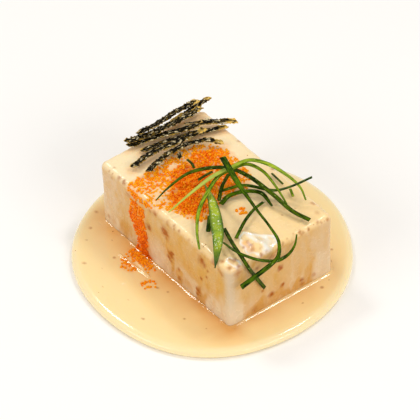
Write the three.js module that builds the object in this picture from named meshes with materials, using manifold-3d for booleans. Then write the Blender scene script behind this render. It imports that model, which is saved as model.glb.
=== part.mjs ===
// A block of chilled silken tofu under a creamy sesame sauce. The sauce coats the top, runs down
// the sides and stands round the foot as a shallow pool. On top lie orange fish roe, toasted
// seaweed strips and curled shreds of spring onion with one fleshy leaf.
// Millimetres, +Z up. The origin is on the floor under the middle of the pool.
import * as THREE from "three";
import { mergeVertices } from "three/addons/utils/BufferGeometryUtils.js";
import Module from "manifold-3d";

// Block: the long side runs along X
const BLOCK_LENGTH = 74.4;
const BLOCK_WIDTH = 45.4;
const BLOCK_HEIGHT = 29.7;
const BLOCK_X = -1;
const BLOCK_Y = 2.5;
const CORNER_RADIUS = 2.6;
const EDGE_RADIUS = 2.2;
const GAP = 0.3;

// Sauce coat: thickness, where it ends on the sides, and its thicker tongue near the front corner
const COAT_TOP = 1.0;
const COAT_SIDE = 0.8;
const COAT_BEAD = 0.3;
const SHORTEST_RUN = 5;
const TONGUE = { x: 21, y: -1, halfLength: 17, halfWidth: 12, turn: 0.35, height: 0.45 };
const SWELL_HEIGHT = 0.12;
const SWELL_LENGTH = 26;

// Runs of sauce down each side, counted anticlockwise from the left front corner:
// distance from the side's start, width and drop below the block's top edge
const FRONT_RUNS = [[6, 12, 15], [22, 17, 22.3], [34, 9, 14], [45, 12, 22], [57, 12, 19], [67, 9, 22]];
const RIGHT_RUNS = [[5, 8, 14], [14, 13, 22], [25, 12, 21], [35, 12, 22.3], [42, 6, 12]];
const BACK_RUNS = [[8, 13, 20], [24, 15, 22], [40, 12, 16], [54, 15, 22], [68, 9, 18]];
const LEFT_RUNS = [[7, 11, 18], [20, 14, 22], [33, 12, 16], [41, 7, 21]];

// Pool of sauce: a rounded outline with slow unevenness, a flat top and a drop's edge
const POOL_RADIUS = 52.2;
const POOL_LEVEL = 3.6;
const POOL_WAVES = [[2, 0.9, 0.6], [3, 0.7, 2.1], [5, 0.35, 4.0]];
const POOL_EDGE = [[0.9, 0], [0.1, 0.9], [0, 1.7], [0.5, 2.6], [1.9, 3.35], [5.5, POOL_LEVEL]];
const POOL_RISE = 0.6;
const POOL_RISE_WIDTH = 1.6;

// Roe: outline of the heap on top, thickness, and how many grains show as solids
const ROE_OUTLINE = [
  [-24, -12], [-25.5, 0], [-25, 11], [-20, 17], [-12, 20], [-5, 17.5], [0, 18], [6.5, 13],
  [7, 3], [8.5, -3], [12, -9], [9, -15], [2, -15.5], [-9, -19], [-15, -19], [-21, -18],
];
const ROE_CENTRE = [-8, 0];
const ROE_EDGE_HEIGHT = 0.35;
const ROE_HEIGHT = 0.75;
const GRAIN_RADIUS = 0.45;
const HEAP_GRAINS = 90;
const STREAM_GRAINS = 46;
const POOL_GRAINS = 20;
const ISLAND_GRAINS = 7;
const ISLAND = [16, 2];
const STREAM = { top: [-22, -8.5], bottom: [-17, -9], zTop: 27.5, zBottom: 7.5 };
const POOL_DRIFTS = [[-12, -26, 5, 2.5], [-9, -30, 3, 1.5], [2, -31, 4, 1.5]];

// Strips: each route is a few points along the middle of the strip
const NORI_THICKNESS = 0.4;
const NORI_CRINKLE = 0.22;
const NORI_ROUTES = [
  { points: [[-38.8, -3.8, 35.6], [-39.3, 6.8, 35.5], [-40.4, 16, 35.4], [-40.2, 24.9, 35.4]], width: 1.4 },
  { points: [[-39, -9.1, 34.1], [-37.1, 0.2, 34.1], [-36.2, 10.9, 34.1], [-36.6, 23.7, 34.3]], width: 2.6 },
  { points: [[-38, 8, 32.4], [-38.4, 19.6, 32.7], [-38.9, 29.6, 34.4]], width: 1.7 },
  { points: [[-38.1, -8.9, 32.6], [-35.1, 3.5, 32.8], [-31.2, 14.5, 33.4], [-29.7, 20.1, 33.6], [-22.8, 29.6, 33.6]], width: 2.2 },
  { points: [[-32.7, -6.5, 32.3], [-32.2, 1.6, 32.3], [-28.8, 13.1, 32.4], [-23.6, 25.9, 32.4]], width: 1.8 },
  { points: [[-27.7, -14.8, 32.6], [-28.7, -4.6, 33.6], [-27.1, 5.7, 34.2], [-25.9, 17.1, 34.8]], width: 2 },
  { points: [[-21.5, -12.5, 33.5], [-24.4, -1.2, 33.7], [-24, 7.9, 33.8], [-21.3, 14.3, 33.8], [-16.7, 18.6, 33.4]], width: 2 },
  { points: [[-32.5, 13, 34.8], [-29.6, 18.8, 35]], width: 0.8 },
  { points: [[-22.4, 2.6, 33.2], [-19.6, 0.8, 33.2]], width: 1.4 },
];

const GREEN_THICKNESS = 0.45;
const GREEN_ROUTES = [
  {
    points: [
      [-2, 7, 42.6], [11, 3.5, 41.6], [24.5, 1.5, 39], [33.5, 0.7, 37], [40, -0.7, 35.4],
      [41.6, -2.4, 30.5], [41.2, -5.5, 28.2], [41, -12.3, 26.3], [41, -18.7, 24.9],
    ],
    width: 2,
  },
  {
    points: [
      [0.4, -19.7, 32.8], [0.6, -10.6, 36.2], [1.1, 0.1, 39.4], [2.3, 7.5, 40.4], [4.1, 14.3, 41.2],
      [9.9, 18, 41.4], [16.6, 21, 39.4], [22.7, 22.9, 36.2], [26.4, 22.6, 32.6],
    ],
    width: 1.8, start: 0.3, end: 0.4,
  },
  {
    points: [
      [-7.3, -19.5, 33.2], [-7.6, -14.3, 35.4], [-7.6, -4.3, 37.4], [-3.9, 3.9, 38], [0.5, 8.8, 37.7],
      [7.6, 11.5, 37.3], [19.4, 13.2, 35.7], [28.5, 14.6, 33.4], [35.5, 17, 32.5],
    ],
    width: 1.9, start: 0.25,
  },
  {
    points: [
      [21.8, -22.3, 31.6], [15.3, -18.3, 33], [8.7, -12.2, 35.2], [4.6, -4.9, 37.3], [1.6, 2.5, 38.6],
      [2.1, 7.7, 39.1], [4, 13.3, 39.8], [9.5, 16.1, 38.8], [18, 15.7, 37.1], [24.1, 15.8, 32.8],
    ],
    width: 1.5, start: 0.5, end: 0.4,
  },
  { points: [[4.4, 1.7, 33.9], [8.3, 8.4, 35.3], [16.7, 15.5, 34.6], [21.8, 19.2, 37.8], [26.1, 25.8, 41.6]], width: 1.6 },
  { points: [[9, -2.5, 32.9], [7.7, 2.2, 33.3], [9.9, 8.2, 33.6], [13.7, 12, 33.3], [20.9, 11.4, 32.4]], width: 2 },
  { points: [[-4, 3.9, 36], [-5, 1.2, 35], [-5.9, -1.4, 33.6]], width: 1.3 },
  { points: [[0.9, 7.4, 36.2], [3.7, 2.2, 35.2], [7.8, -2.5, 33.9]], width: 1.4 },
  {
    points: [
      [19.7, -9.5, 32.7], [28.8, -12.5, 33.1], [36.3, -14.3, 33], [38.4, -13.6, 30], [38.4, -10.1, 22.8],
      [38.4, -6.2, 15.2],
    ],
    width: 1.5,
  },
  {
    points: [
      [25.6, -14.5, 33], [34.7, -14.9, 34.8], [39.2, -11.6, 33.2], [39.4, -5.8, 28.8], [39.4, -0.4, 26],
      [39.4, 4.2, 26.3], [39.4, 7, 29], [38.9, 8.4, 33],
    ],
    width: 1.4, start: 0.6, end: 0.4,
  },
  { points: [[17.2, 10.3, 32.3], [19, 4.7, 33.2], [21.7, -1.5, 33.2], [26.3, -9.2, 32.5]], width: 1.3 },
  { points: [[12, -9.8, 33.5], [17.2, -14.8, 32.5]], width: 1.7 },
  { points: [[6.8, 22.5, 32.1], [13.9, 22, 32.1]], width: 0.9 },
  { points: [[17.9, 22.2, 32.4], [21.5, 20.6, 32.2]], width: 1 },
  { points: [[-17.6, 2.6, 33.4], [-14.2, 2.3, 33.7], [-12.2, 1.6, 33.5]], width: 1.1 },
];
const LEAF_ROUTE = [
  [-1.8, -1.7, 35], [8, -5.7, 35.2], [16.4, -10.5, 35], [23.6, -15.2, 34.6], [28.8, -19.8, 33.2], [31.4, -22.8, 29.6],
];
const LEAF_WIDTH = 4.6;
const LEAF_THICKNESS = 0.9;

// Colours and finish
const TOFU_LOOK = { color: 0xf3ead8, roughness: 0.35, metalness: 0 };
const SAUCE_LOOK = { color: 0xf0d9a8, roughness: 0.2, metalness: 0 };
const ROE_LOOK = { color: 0xf07812, roughness: 0.3, metalness: 0 };
const NORI_LOOK = { color: 0x1d2013, roughness: 0.5, metalness: 0 };
const GREEN_LOOK = { color: 0x3d7a1c, roughness: 0.35, metalness: 0 };
const LEAF_LOOK = { color: 0x5d9c2a, roughness: 0.25, metalness: 0 };

const wasm = await Module();
wasm.setup();

const tofu = new THREE.Group();

function makeRandom(seed) {
  let state = seed;
  return () => {
    state = (state * 16807) % 2147483647;
    return state / 2147483647;
  };
}

// Adds one mesh to the group
function addPiece(name, geometry, look) {
  const mesh = new THREE.Mesh(geometry, new THREE.MeshStandardMaterial(look));
  mesh.name = name;
  tofu.add(mesh);
}

// Signed volume, positive when the faces point out
function signedVolume(positions, faces) {
  const corners = [new THREE.Vector3(), new THREE.Vector3(), new THREE.Vector3()];
  let volume = 0;
  for (let i = 0; i < faces.length; i += 3) {
    corners.forEach((corner, k) => corner.fromArray(positions, faces[i + k] * 3));
    volume += corners[0].dot(corners[1].cross(corners[2])) / 6;
  }
  return volume;
}

// Closed body from loops with the same number of points. With two poles the ends are closed by
// fans; without them the last loop joins the first again, as in a ring.
function bodyFromLoops(loops, poles) {
  const count = loops[0].length;
  const positions = loops.flat().flatMap((p) => [p.x, p.y, p.z]);
  const faces = [];
  const bands = poles ? loops.length - 1 : loops.length;
  for (let band = 0; band < bands; band += 1) {
    const near = band * count;
    const far = ((band + 1) % loops.length) * count;
    for (let i = 0; i < count; i += 1) {
      const j = (i + 1) % count;
      faces.push(near + i, near + j, far + j, near + i, far + j, far + i);
    }
  }
  if (poles) {
    const last = (loops.length - 1) * count;
    const startPole = loops.length * count;
    poles.forEach((p) => positions.push(p.x, p.y, p.z));
    for (let i = 0; i < count; i += 1) {
      const j = (i + 1) % count;
      faces.push(startPole, j, i, startPole + 1, last + i, last + j);
    }
  }
  if (signedVolume(positions, faces) < 0) {
    faces.reverse();
  }
  const geometry = new THREE.BufferGeometry();
  geometry.setAttribute("position", new THREE.Float32BufferAttribute(positions, 3));
  geometry.setIndex(faces);
  return geometry;
}

function toSolid(geometry) {
  const bare = geometry.clone();
  bare.deleteAttribute("normal");
  bare.deleteAttribute("uv");
  const merged = mergeVertices(bare, 1e-4);
  return new wasm.Manifold(new wasm.Mesh({
    numProp: 3,
    vertProperties: Float32Array.from(merged.getAttribute("position").array),
    triVerts: Uint32Array.from(merged.getIndex().array),
  }));
}

function toGeometry(solid) {
  const mesh = solid.getMesh();
  const geometry = new THREE.BufferGeometry();
  geometry.setAttribute("position", new THREE.Float32BufferAttribute(mesh.vertProperties, 3));
  geometry.setIndex(Array.from(mesh.triVerts));
  return geometry;
}

// Fuses small round grains, half sunk at the given centres, to a body
function fuseGrains(geometry, centres, random) {
  let solid = toSolid(geometry);
  for (const centre of centres) {
    const grain = new THREE.IcosahedronGeometry(GRAIN_RADIUS * (0.9 + 0.25 * random()), 0);
    grain.rotateX(random() * Math.PI);
    grain.rotateZ(random() * Math.PI);
    grain.translate(centre.x, centre.y, centre.z);
    solid = solid.add(toSolid(grain));
  }
  return toGeometry(solid);
}

// Every loop round the block turns its corners in the same steps, so neighbours stay parallel
const CORNER_STEPS = 2;

// Points round the block's rounded rectangle, anticlockwise from above, each with the outward
// normal and the distance run from the left front corner
function blockOutline(longSteps, shortSteps, cornerSteps) {
  const insetX = BLOCK_LENGTH / 2 - CORNER_RADIUS;
  const insetY = BLOCK_WIDTH / 2 - CORNER_RADIUS;
  const centres = [[-insetX, -insetY], [insetX, -insetY], [insetX, insetY], [-insetX, insetY]];
  const outline = [];
  let sideStart = 0;
  for (let side = 0; side < 4; side += 1) {
    const from = new THREE.Vector2(...centres[side]);
    const to = new THREE.Vector2(...centres[(side + 1) % 4]);
    const facing = (side - 1) * Math.PI / 2;
    const steps = side % 2 === 0 ? longSteps : shortSteps;
    const add = (centre, angle, run) => {
      const normal = new THREE.Vector2(Math.cos(angle), Math.sin(angle));
      outline.push({ at: centre.clone().addScaledVector(normal, CORNER_RADIUS), normal, run });
    };
    for (let i = 0; i < steps; i += 1) {
      add(from.clone().lerp(to, i / steps), facing, sideStart + CORNER_RADIUS + from.distanceTo(to) * i / steps);
    }
    sideStart += side % 2 === 0 ? BLOCK_LENGTH : BLOCK_WIDTH;
    for (let i = 0; i < cornerSteps; i += 1) {
      add(to, facing + i / cornerSteps * Math.PI / 2, sideStart);
    }
  }
  return outline;
}

// A point off the block's surface: on the rounded top edge at an angle from level, or on the side
function edgePoint(sample, offset, angle) {
  const reach = (EDGE_RADIUS + offset) * Math.cos(angle) - EDGE_RADIUS;
  return new THREE.Vector3(
    BLOCK_X + sample.at.x + sample.normal.x * reach,
    BLOCK_Y + sample.at.y + sample.normal.y * reach,
    BLOCK_HEIGHT - EDGE_RADIUS + (EDGE_RADIUS + offset) * Math.sin(angle),
  );
}

function sidePoint(sample, offset, z) {
  return new THREE.Vector3(
    BLOCK_X + sample.at.x + sample.normal.x * offset,
    BLOCK_Y + sample.at.y + sample.normal.y * offset,
    z,
  );
}

// A point of the flat top, at a fraction of the way from the middle to the rounded edge
function topPoint(sample, fraction, height) {
  const x = BLOCK_X + (sample.at.x - sample.normal.x * EDGE_RADIUS) * fraction;
  const y = BLOCK_Y + (sample.at.y - sample.normal.y * EDGE_RADIUS) * fraction;
  return new THREE.Vector3(x, y, height(x, y));
}

// The block itself
const BLOCK_FOOT_RADIUS = 0.6;

function makeBlock() {
  const outline = blockOutline(1, 1, CORNER_STEPS);
  const loops = [outline.map((s) => topPoint(s, 1, () => BLOCK_HEIGHT))];
  for (const angle of [45, 0]) {
    loops.push(outline.map((s) => edgePoint(s, 0, THREE.MathUtils.degToRad(angle))));
  }
  loops.push(outline.map((s) => sidePoint(s, 0, BLOCK_FOOT_RADIUS)));
  loops.push(outline.map((s) => sidePoint(s, -BLOCK_FOOT_RADIUS, 0)));
  const top = new THREE.Vector3(BLOCK_X, BLOCK_Y, BLOCK_HEIGHT);
  const foot = new THREE.Vector3(BLOCK_X, BLOCK_Y, 0);
  return bodyFromLoops(loops, [top, foot]);
}

// Height of the sauce's surface on top: slow swells and a thicker tongue near the front corner
function sauceTop(x, y) {
  const dx = x - TONGUE.x;
  const dy = y - TONGUE.y;
  const along = (dx * Math.cos(TONGUE.turn) + dy * Math.sin(TONGUE.turn)) / TONGUE.halfLength;
  const across = (dy * Math.cos(TONGUE.turn) - dx * Math.sin(TONGUE.turn)) / TONGUE.halfWidth;
  const tongue = TONGUE.height * Math.max(0, 1 - (along * along + across * across) ** 2);
  const swell = SWELL_HEIGHT * Math.sin(x * 2 * Math.PI / SWELL_LENGTH) * Math.cos(y * 2 * Math.PI / SWELL_LENGTH);
  return BLOCK_HEIGHT + GAP + COAT_TOP + tongue + swell;
}

// How far the sauce has run down at a place along the block's outline
function runDrop(run) {
  const sides = [FRONT_RUNS, RIGHT_RUNS, BACK_RUNS, LEFT_RUNS];
  const lengths = [BLOCK_LENGTH, BLOCK_WIDTH, BLOCK_LENGTH, BLOCK_WIDTH];
  let start = 0;
  let drop = SHORTEST_RUN;
  sides.forEach((runs, side) => {
    for (const [at, width, depth] of runs) {
      const away = Math.abs(run - start - at) / (width / 2);
      if (away < 1) {
        drop = Math.max(drop, SHORTEST_RUN + (depth - SHORTEST_RUN) * Math.sqrt(1 - away * away));
      }
    }
    start += lengths[side];
  });
  return drop;
}

function makeCoat(random) {
  const outline = blockOutline(24, 14, CORNER_STEPS);
  const outer = GAP + COAT_SIDE;
  const degrees = (value) => THREE.MathUtils.degToRad(value);
  const sideTop = BLOCK_HEIGHT - EDGE_RADIUS;
  const loops = [];
  for (const fraction of [0.25, 0.5, 0.75, 0.92, 1]) {
    loops.push(outline.map((s) => topPoint(s, fraction, sauceTop)));
  }
  for (const angle of [55, 20]) {
    loops.push(outline.map((s) => edgePoint(s, outer, degrees(angle))));
  }
  for (const share of [0.35, 0.7, 0.93]) {
    const bead = COAT_BEAD * share;
    loops.push(outline.map((s) => sidePoint(s, outer + bead, sideTop - runDrop(s.run) * share)));
  }
  loops.push(outline.map((s) => sidePoint(s, outer - COAT_SIDE / 2, sideTop - runDrop(s.run) - COAT_BEAD)));
  loops.push(outline.map((s) => sidePoint(s, GAP, sideTop - runDrop(s.run))));
  for (const angle of [0, 45]) {
    loops.push(outline.map((s) => edgePoint(s, GAP, degrees(angle))));
  }
  loops.push(outline.map((s) => topPoint(s, 1, () => BLOCK_HEIGHT + GAP)));
  const middle = new THREE.Vector3(BLOCK_X, BLOCK_Y, sauceTop(BLOCK_X, BLOCK_Y));
  const inside = new THREE.Vector3(BLOCK_X, BLOCK_Y, BLOCK_HEIGHT + GAP);
  return fuseGrains(bodyFromLoops(loops, [middle, inside]), coatGrains(random), random);
}

// Grains that ran down the front side with the sauce, and a few on their own on top
function coatGrains(random) {
  const centres = [];
  const face = BLOCK_Y - BLOCK_WIDTH / 2 - GAP - COAT_SIDE;
  for (let i = 0; i < STREAM_GRAINS; i += 1) {
    const down = (i + random()) / STREAM_GRAINS;
    const left = THREE.MathUtils.lerp(STREAM.top[0], STREAM.bottom[0], down);
    const right = THREE.MathUtils.lerp(STREAM.top[1], STREAM.bottom[1], down);
    const z = THREE.MathUtils.lerp(STREAM.zTop, STREAM.zBottom, down);
    const x = THREE.MathUtils.lerp(left, right, random());
    const hem = BLOCK_HEIGHT - EDGE_RADIUS - runDrop(x - BLOCK_X + BLOCK_LENGTH / 2);
    if (z > hem + 2 * GRAIN_RADIUS) {
      centres.push(new THREE.Vector3(x, face - COAT_BEAD * down / 2, z));
    }
  }
  for (let i = 0; i < ISLAND_GRAINS; i += 1) {
    const angle = i / ISLAND_GRAINS * 2 * Math.PI;
    const reach = i === 0 ? 0 : 1.3 * Math.sqrt(random());
    const x = ISLAND[0] + reach * Math.cos(angle);
    const y = ISLAND[1] + reach * Math.sin(angle);
    centres.push(new THREE.Vector3(x, y, sauceTop(x, y)));
  }
  return centres;
}

// Distance of the pool's edge from its middle at an angle
function poolRadius(angle) {
  const wave = ([count, height, shift]) => height * Math.cos(count * angle + shift);
  return POOL_RADIUS + POOL_WAVES.map(wave).reduce((sum, value) => sum + value, 0);
}

function makePool(random) {
  const outline = blockOutline(22, 13, CORNER_STEPS);
  const rim = (inset, z) => outline.map((s) => {
    const angle = Math.atan2(BLOCK_Y + s.at.y, BLOCK_X + s.at.x);
    const reach = poolRadius(angle) - inset;
    return new THREE.Vector3(reach * Math.cos(angle), reach * Math.sin(angle), z);
  });
  const widest = new THREE.Box3().setFromPoints(rim(0, 0));
  const shift = widest.getCenter(new THREE.Vector3()).negate();
  const loops = [outline.map((s) => sidePoint(s, GAP, 0))];
  for (const [inset, z] of POOL_EDGE) {
    loops.push(rim(inset, z).map((p) => p.add(shift)));
  }
  loops.push(outline.map((s) => sidePoint(s, GAP + POOL_RISE_WIDTH, POOL_LEVEL)));
  loops.push(outline.map((s) => sidePoint(s, GAP, POOL_LEVEL + POOL_RISE)));
  const centres = [];
  for (let i = 0; i < POOL_GRAINS; i += 1) {
    const [x, y, halfLength, halfWidth] = POOL_DRIFTS[i % POOL_DRIFTS.length];
    centres.push(new THREE.Vector3(x + halfLength * (2 * random() - 1), y + halfWidth * (2 * random() - 1), POOL_LEVEL));
  }
  return fuseGrains(bodyFromLoops(loops, null), centres, random);
}

// The heap of roe: a thin uneven layer on the sauce with grains standing on it
const ROE_LOOP_POINTS = 40;
const ROE_UNEVENNESS = 0.16;

function makeRoe(random) {
  const corners = ROE_OUTLINE.map(([x, y]) => new THREE.Vector3(x, y, 0));
  const curve = new THREE.CatmullRomCurve3(corners, true);
  const edge = curve.getSpacedPoints(ROE_LOOP_POINTS).slice(0, ROE_LOOP_POINTS);
  const centre = new THREE.Vector3(ROE_CENTRE[0], ROE_CENTRE[1], 0);
  const loop = (fraction, rise, unevenness) => edge.map((p) => {
    const q = centre.clone().lerp(p, fraction);
    q.z = sauceTop(q.x, q.y) + GAP + rise + unevenness * (random() - 0.5);
    return q;
  });
  const loops = [loop(1, 0, 0), loop(0.985, ROE_EDGE_HEIGHT, ROE_UNEVENNESS)];
  for (const fraction of [0.88, 0.7, 0.5, 0.25]) {
    loops.push(loop(fraction, ROE_HEIGHT, 2 * ROE_UNEVENNESS));
  }
  const base = (rise) => new THREE.Vector3(centre.x, centre.y, sauceTop(centre.x, centre.y) + GAP + rise);
  const lower = [loop(0.3, 0, 0), loop(0.7, 0, 0)];
  const body = bodyFromLoops([...lower, ...loops], [base(0), base(ROE_HEIGHT)]);
  const centres = [];
  for (let i = 0; i < HEAP_GRAINS; i += 1) {
    const toEdge = edge[Math.floor(random() * ROE_LOOP_POINTS)];
    const q = centre.clone().lerp(toEdge, 0.94 * Math.sqrt((i + 0.5) / HEAP_GRAINS));
    q.z = sauceTop(q.x, q.y) + GAP + ROE_HEIGHT + 0.1;
    centres.push(q);
  }
  return fuseGrains(body, centres, random);
}

function routeCurve(points) {
  return new THREE.CatmullRomCurve3(points.map((p) => new THREE.Vector3(...p)), false, "centripetal");
}

// Steps along a strip, each of about the given length
function stepsAlong(points, step) {
  return Math.max(3, Math.round(routeCurve(points).getLength() / step));
}

// A flat strip along a smooth route. The width stays square to the route and starts out level;
// widthAt gives the width and liftAt an added height along the strip, both from 0 to 1.
function makeStrip(points, steps, thickness, widthAt, liftAt) {
  const curve = routeCurve(points);
  const across = curve.getTangentAt(0).cross(new THREE.Vector3(0, 0, 1)).normalize();
  const loops = [];
  for (let i = 0; i <= steps; i += 1) {
    const share = i / steps;
    const along = curve.getTangentAt(share);
    across.addScaledVector(along, -across.dot(along)).normalize();
    const normal = new THREE.Vector3().crossVectors(across, along).normalize();
    const middle = curve.getPointAt(share).addScaledVector(normal, liftAt(share));
    const half = widthAt(share) / 2;
    loops.push([[-1, -1], [1, -1], [1, 1], [-1, 1]].map(([side, face]) => middle.clone()
      .addScaledVector(across, side * half)
      .addScaledVector(normal, face * thickness / 2)));
  }
  return bodyFromLoops(loops, [curve.getPointAt(0), curve.getPointAt(1)]);
}

const NORI_STEP = 2.6;

function makeNori(route, random) {
  const steps = stepsAlong(route.points, NORI_STEP);
  const widths = Array.from({ length: steps + 1 }, () => route.width * (0.72 + 0.4 * random()));
  const lifts = Array.from({ length: steps + 1 }, () => NORI_CRINKLE * (2 * random() - 1));
  const pick = (list) => (share) => list[Math.round(share * steps)];
  return makeStrip(route.points, steps, NORI_THICKNESS, pick(widths), pick(lifts));
}

const GREEN_STEP = 2.8;
const TAPER_SHARE = 0.3;

// Width factor of a strip whose ends narrow to the given shares
function taper(share, start, end) {
  const fromStart = Math.min(1, start + (1 - start) * share / TAPER_SHARE);
  const fromEnd = Math.min(1, end + (1 - end) * (1 - share) / TAPER_SHARE);
  return Math.min(fromStart, fromEnd);
}

function makeGreen(route) {
  const steps = stepsAlong(route.points, GREEN_STEP);
  const start = route.start ?? 1;
  const end = route.end ?? 1;
  return makeStrip(route.points, steps, GREEN_THICKNESS, (share) => route.width * taper(share, start, end), () => 0);
}

// The leaf is widest just past its middle and ends in a point
const LEAF_STEPS = 18;

function makeLeaf() {
  const widthAt = (share) => Math.max(0.5, LEAF_WIDTH * Math.sin(Math.PI * share ** 1.15) ** 0.8);
  const liftAt = (share) => 0.12 * Math.sin(share * 4 * Math.PI);
  return makeStrip(LEAF_ROUTE, LEAF_STEPS, LEAF_THICKNESS, widthAt, liftAt);
}

addPiece("tofu_block", makeBlock(), TOFU_LOOK);
addPiece("sauce_coat", makeCoat(makeRandom(11)), SAUCE_LOOK);
addPiece("sauce_pool", makePool(makeRandom(23)), SAUCE_LOOK);
addPiece("roe_heap", makeRoe(makeRandom(37)), ROE_LOOK);
NORI_ROUTES.forEach((route, i) => addPiece(`nori_strip_${i + 1}`, makeNori(route, makeRandom(101 + 7 * i)), NORI_LOOK));
GREEN_ROUTES.forEach((route, i) => addPiece(`green_strip_${i + 1}`, makeGreen(route), GREEN_LOOK));
addPiece("green_leaf", makeLeaf(), LEAF_LOOK);

export default tofu;
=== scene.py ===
import math
import random

import bmesh
import bpy
import numpy as np
from mathutils import Matrix, Vector, noise


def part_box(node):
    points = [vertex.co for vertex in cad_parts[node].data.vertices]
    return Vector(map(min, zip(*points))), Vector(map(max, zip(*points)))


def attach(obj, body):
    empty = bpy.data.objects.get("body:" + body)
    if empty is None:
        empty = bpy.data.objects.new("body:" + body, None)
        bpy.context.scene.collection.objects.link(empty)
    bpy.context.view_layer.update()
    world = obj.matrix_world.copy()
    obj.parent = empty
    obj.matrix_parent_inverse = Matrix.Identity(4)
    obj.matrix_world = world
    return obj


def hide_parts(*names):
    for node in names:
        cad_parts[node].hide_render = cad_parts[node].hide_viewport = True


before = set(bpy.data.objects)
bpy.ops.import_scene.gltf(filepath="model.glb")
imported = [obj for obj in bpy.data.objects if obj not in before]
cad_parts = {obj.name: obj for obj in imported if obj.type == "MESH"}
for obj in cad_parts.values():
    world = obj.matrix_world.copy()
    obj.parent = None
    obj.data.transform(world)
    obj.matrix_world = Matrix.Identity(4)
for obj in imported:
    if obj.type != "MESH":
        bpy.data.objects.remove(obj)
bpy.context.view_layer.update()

# Sizes are in millimetres, in the part's frame, and become metres when a mesh is made
MM = 0.001
BODY = "root"

# Camera, as the photo has it: azimuth, elevation and roll in degrees, distance, and the scale
# and place of the frame's origin in a picture 420 pixels wide
CAMERA_AZIMUTH = 53.5
CAMERA_ELEVATION = 42.0
CAMERA_ROLL = -2.0
CAMERA_DISTANCE = 1500
PICTURE_WIDTH = 420
PIXELS_PER_MM = 2.731
ORIGIN_PIXEL = (213.5, 255.5)
SENSOR_WIDTH = 36


def node_box(name):
    low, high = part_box(name)
    return np.array(low) / MM, np.array(high) / MM


# Block, from the solid. What is seen of it closes the gap between the solids.
BLOCK_LOW, BLOCK_HIGH = node_box("tofu_block")
BLOCK_CENTRE = (BLOCK_LOW + BLOCK_HIGH) / 2
BLOCK_LENGTH, BLOCK_WIDTH, BLOCK_HEIGHT = BLOCK_HIGH - BLOCK_LOW
GAP = 0.3
CORNER_RADIUS = 1.3
EDGE_RADIUS = 1.3
SIDE_TOP = BLOCK_HEIGHT - EDGE_RADIUS

# Points round the tofu, and round the sauce and the pool
TOFU_AROUND = 300
SAUCE_AROUND = 640

# Sauce over the block
COAT_TOP = 1.0
COAT_SIDE = 0.8
COAT_SINK = 0.5
LIP = 1.2
TONGUE = {"x": 21, "y": -1, "half_length": 17, "half_width": 12, "turn": 0.35, "height": 0.45}
SWELL_HEIGHT = 0.12
SWELL_LENGTH = 26
FACE_OUT = GAP + COAT_SIDE

# Runs down each side, anticlockwise from the left front corner, where the sauce is a little
# thicker: distance from the side's start, width and drop, as in the solids
FRONT_RUNS = [(6, 12, 15), (22, 17, 22.3), (34, 9, 14), (45, 12, 22), (57, 12, 19), (67, 9, 22)]
RIGHT_RUNS = [(5, 8, 14), (14, 13, 22), (25, 12, 21), (35, 12, 22.3), (42, 6, 12)]
BACK_RUNS = [(8, 13, 20), (24, 15, 22), (40, 12, 16), (54, 15, 22), (68, 9, 18)]
LEFT_RUNS = [(7, 11, 18), (20, 14, 22), (33, 12, 16), (41, 7, 21)]
SHORTEST_RUN = 5
RUN_RELIEF = 0.12

# Ridges of the thick sauce on top: line, width and height
RIDGES = [
    ([(21, 13.5), (27, 16.5), (32.5, 16.2), (35.6, 12.5), (36.4, 6), (35.8, 2.4)], 0.6, 0.3),
    ([(25.5, -15.5), (28.5, -14.6), (32, -14.2), (36.4, -13)], 0.6, 0.3),
    ([(30, -17.2), (33, -17), (37, -15.4)], 0.55, 0.3),
    ([(12, -20.2), (17, -19.4), (22, -19), (27, -19.6), (33, -20.4)], 0.7, 0.28),
    ([(36.4, -11), (36.6, 0), (36.5, 12)], 0.5, 0.1),
]

# A wet, crumpled flake of thick sauce, and a smaller one at the front corner
FLAKES = [
    [
        (24.6, -4.6), (28.5, -1.6), (33.3, 2.4), (35.8, 2.0), (37.4, -2), (37.4, -7), (34, -9.8),
        (29.6, -9.4), (26, -7.4),
    ],
    [(31.5, -16), (34.5, -15), (37.4, -14.4), (36.8, -17), (34, -18.6), (31.5, -18)],
]
FLAKE_HEIGHT = 0.1
FLAKE_EDGE = 0.25
FLAKE_FOLDS = 0.26

# Orange tint in the flake: centre, half sizes and amount
FLAKE_TINT = (31, -7.6, 3.6, 1.9, 0.3)

# Pool
POOL_LOW, POOL_HIGH = node_box("sauce_pool")
POOL_RADIUS = 52.14
POOL_LEVEL = 3.6
POOL_WAVES = [(2, 0.9, 0.6), (3, 0.7, 2.1), (5, 0.35, 4.0)]
POOL_EDGE = [(0.9, 0), (0.1, 0.9), (0, 1.7), (0.5, 2.6), (1.9, 3.35), (5.5, POOL_LEVEL)]

# Roe
ROE_OUTLINE = [
    (-24, -12), (-25.5, 0), (-25, 11), (-20, 17), (-12, 20), (-5, 17.5), (0, 18), (6.5, 13), (7, 3),
    (8.5, -3), (12, -9), (9, -15), (2, -16), (-5, -20.4), (-14, -20.8), (-23, -20.6),
]
GRAIN_RADIUS = 0.46
GRAIN_PITCH = 0.88

# Where the roe lies thick on top: centre, half sizes and amount
ROE_MASSES = [
    (-9, -2, 9.5, 7.5, 1.0), (-1, -9.5, 9.5, 6, 1.0), (-14, 8, 8, 8, 0.6), (-3, 6, 8, 9, 0.5),
    (-19, -13, 5, 7, 0.2),
]

# Roe that ran down the front side: left and right edge at heights from the top edge down
FRONT_FACE = BLOCK_LOW[1] - FACE_OUT
STREAM_LEVELS = [
    (30.6, -22, -7), (29, -21.5, -9.5), (27, -20, -12.6), (22, -20.6, -12.8), (19, -21.2, -12.8),
    (16, -20.2, -11.6), (13, -18.6, -10.8), (10, -17.4, -11.2), (7, -16.6, -11.6), (5.5, -17, -11),
    (4, -19, -8.6),
]

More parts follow.
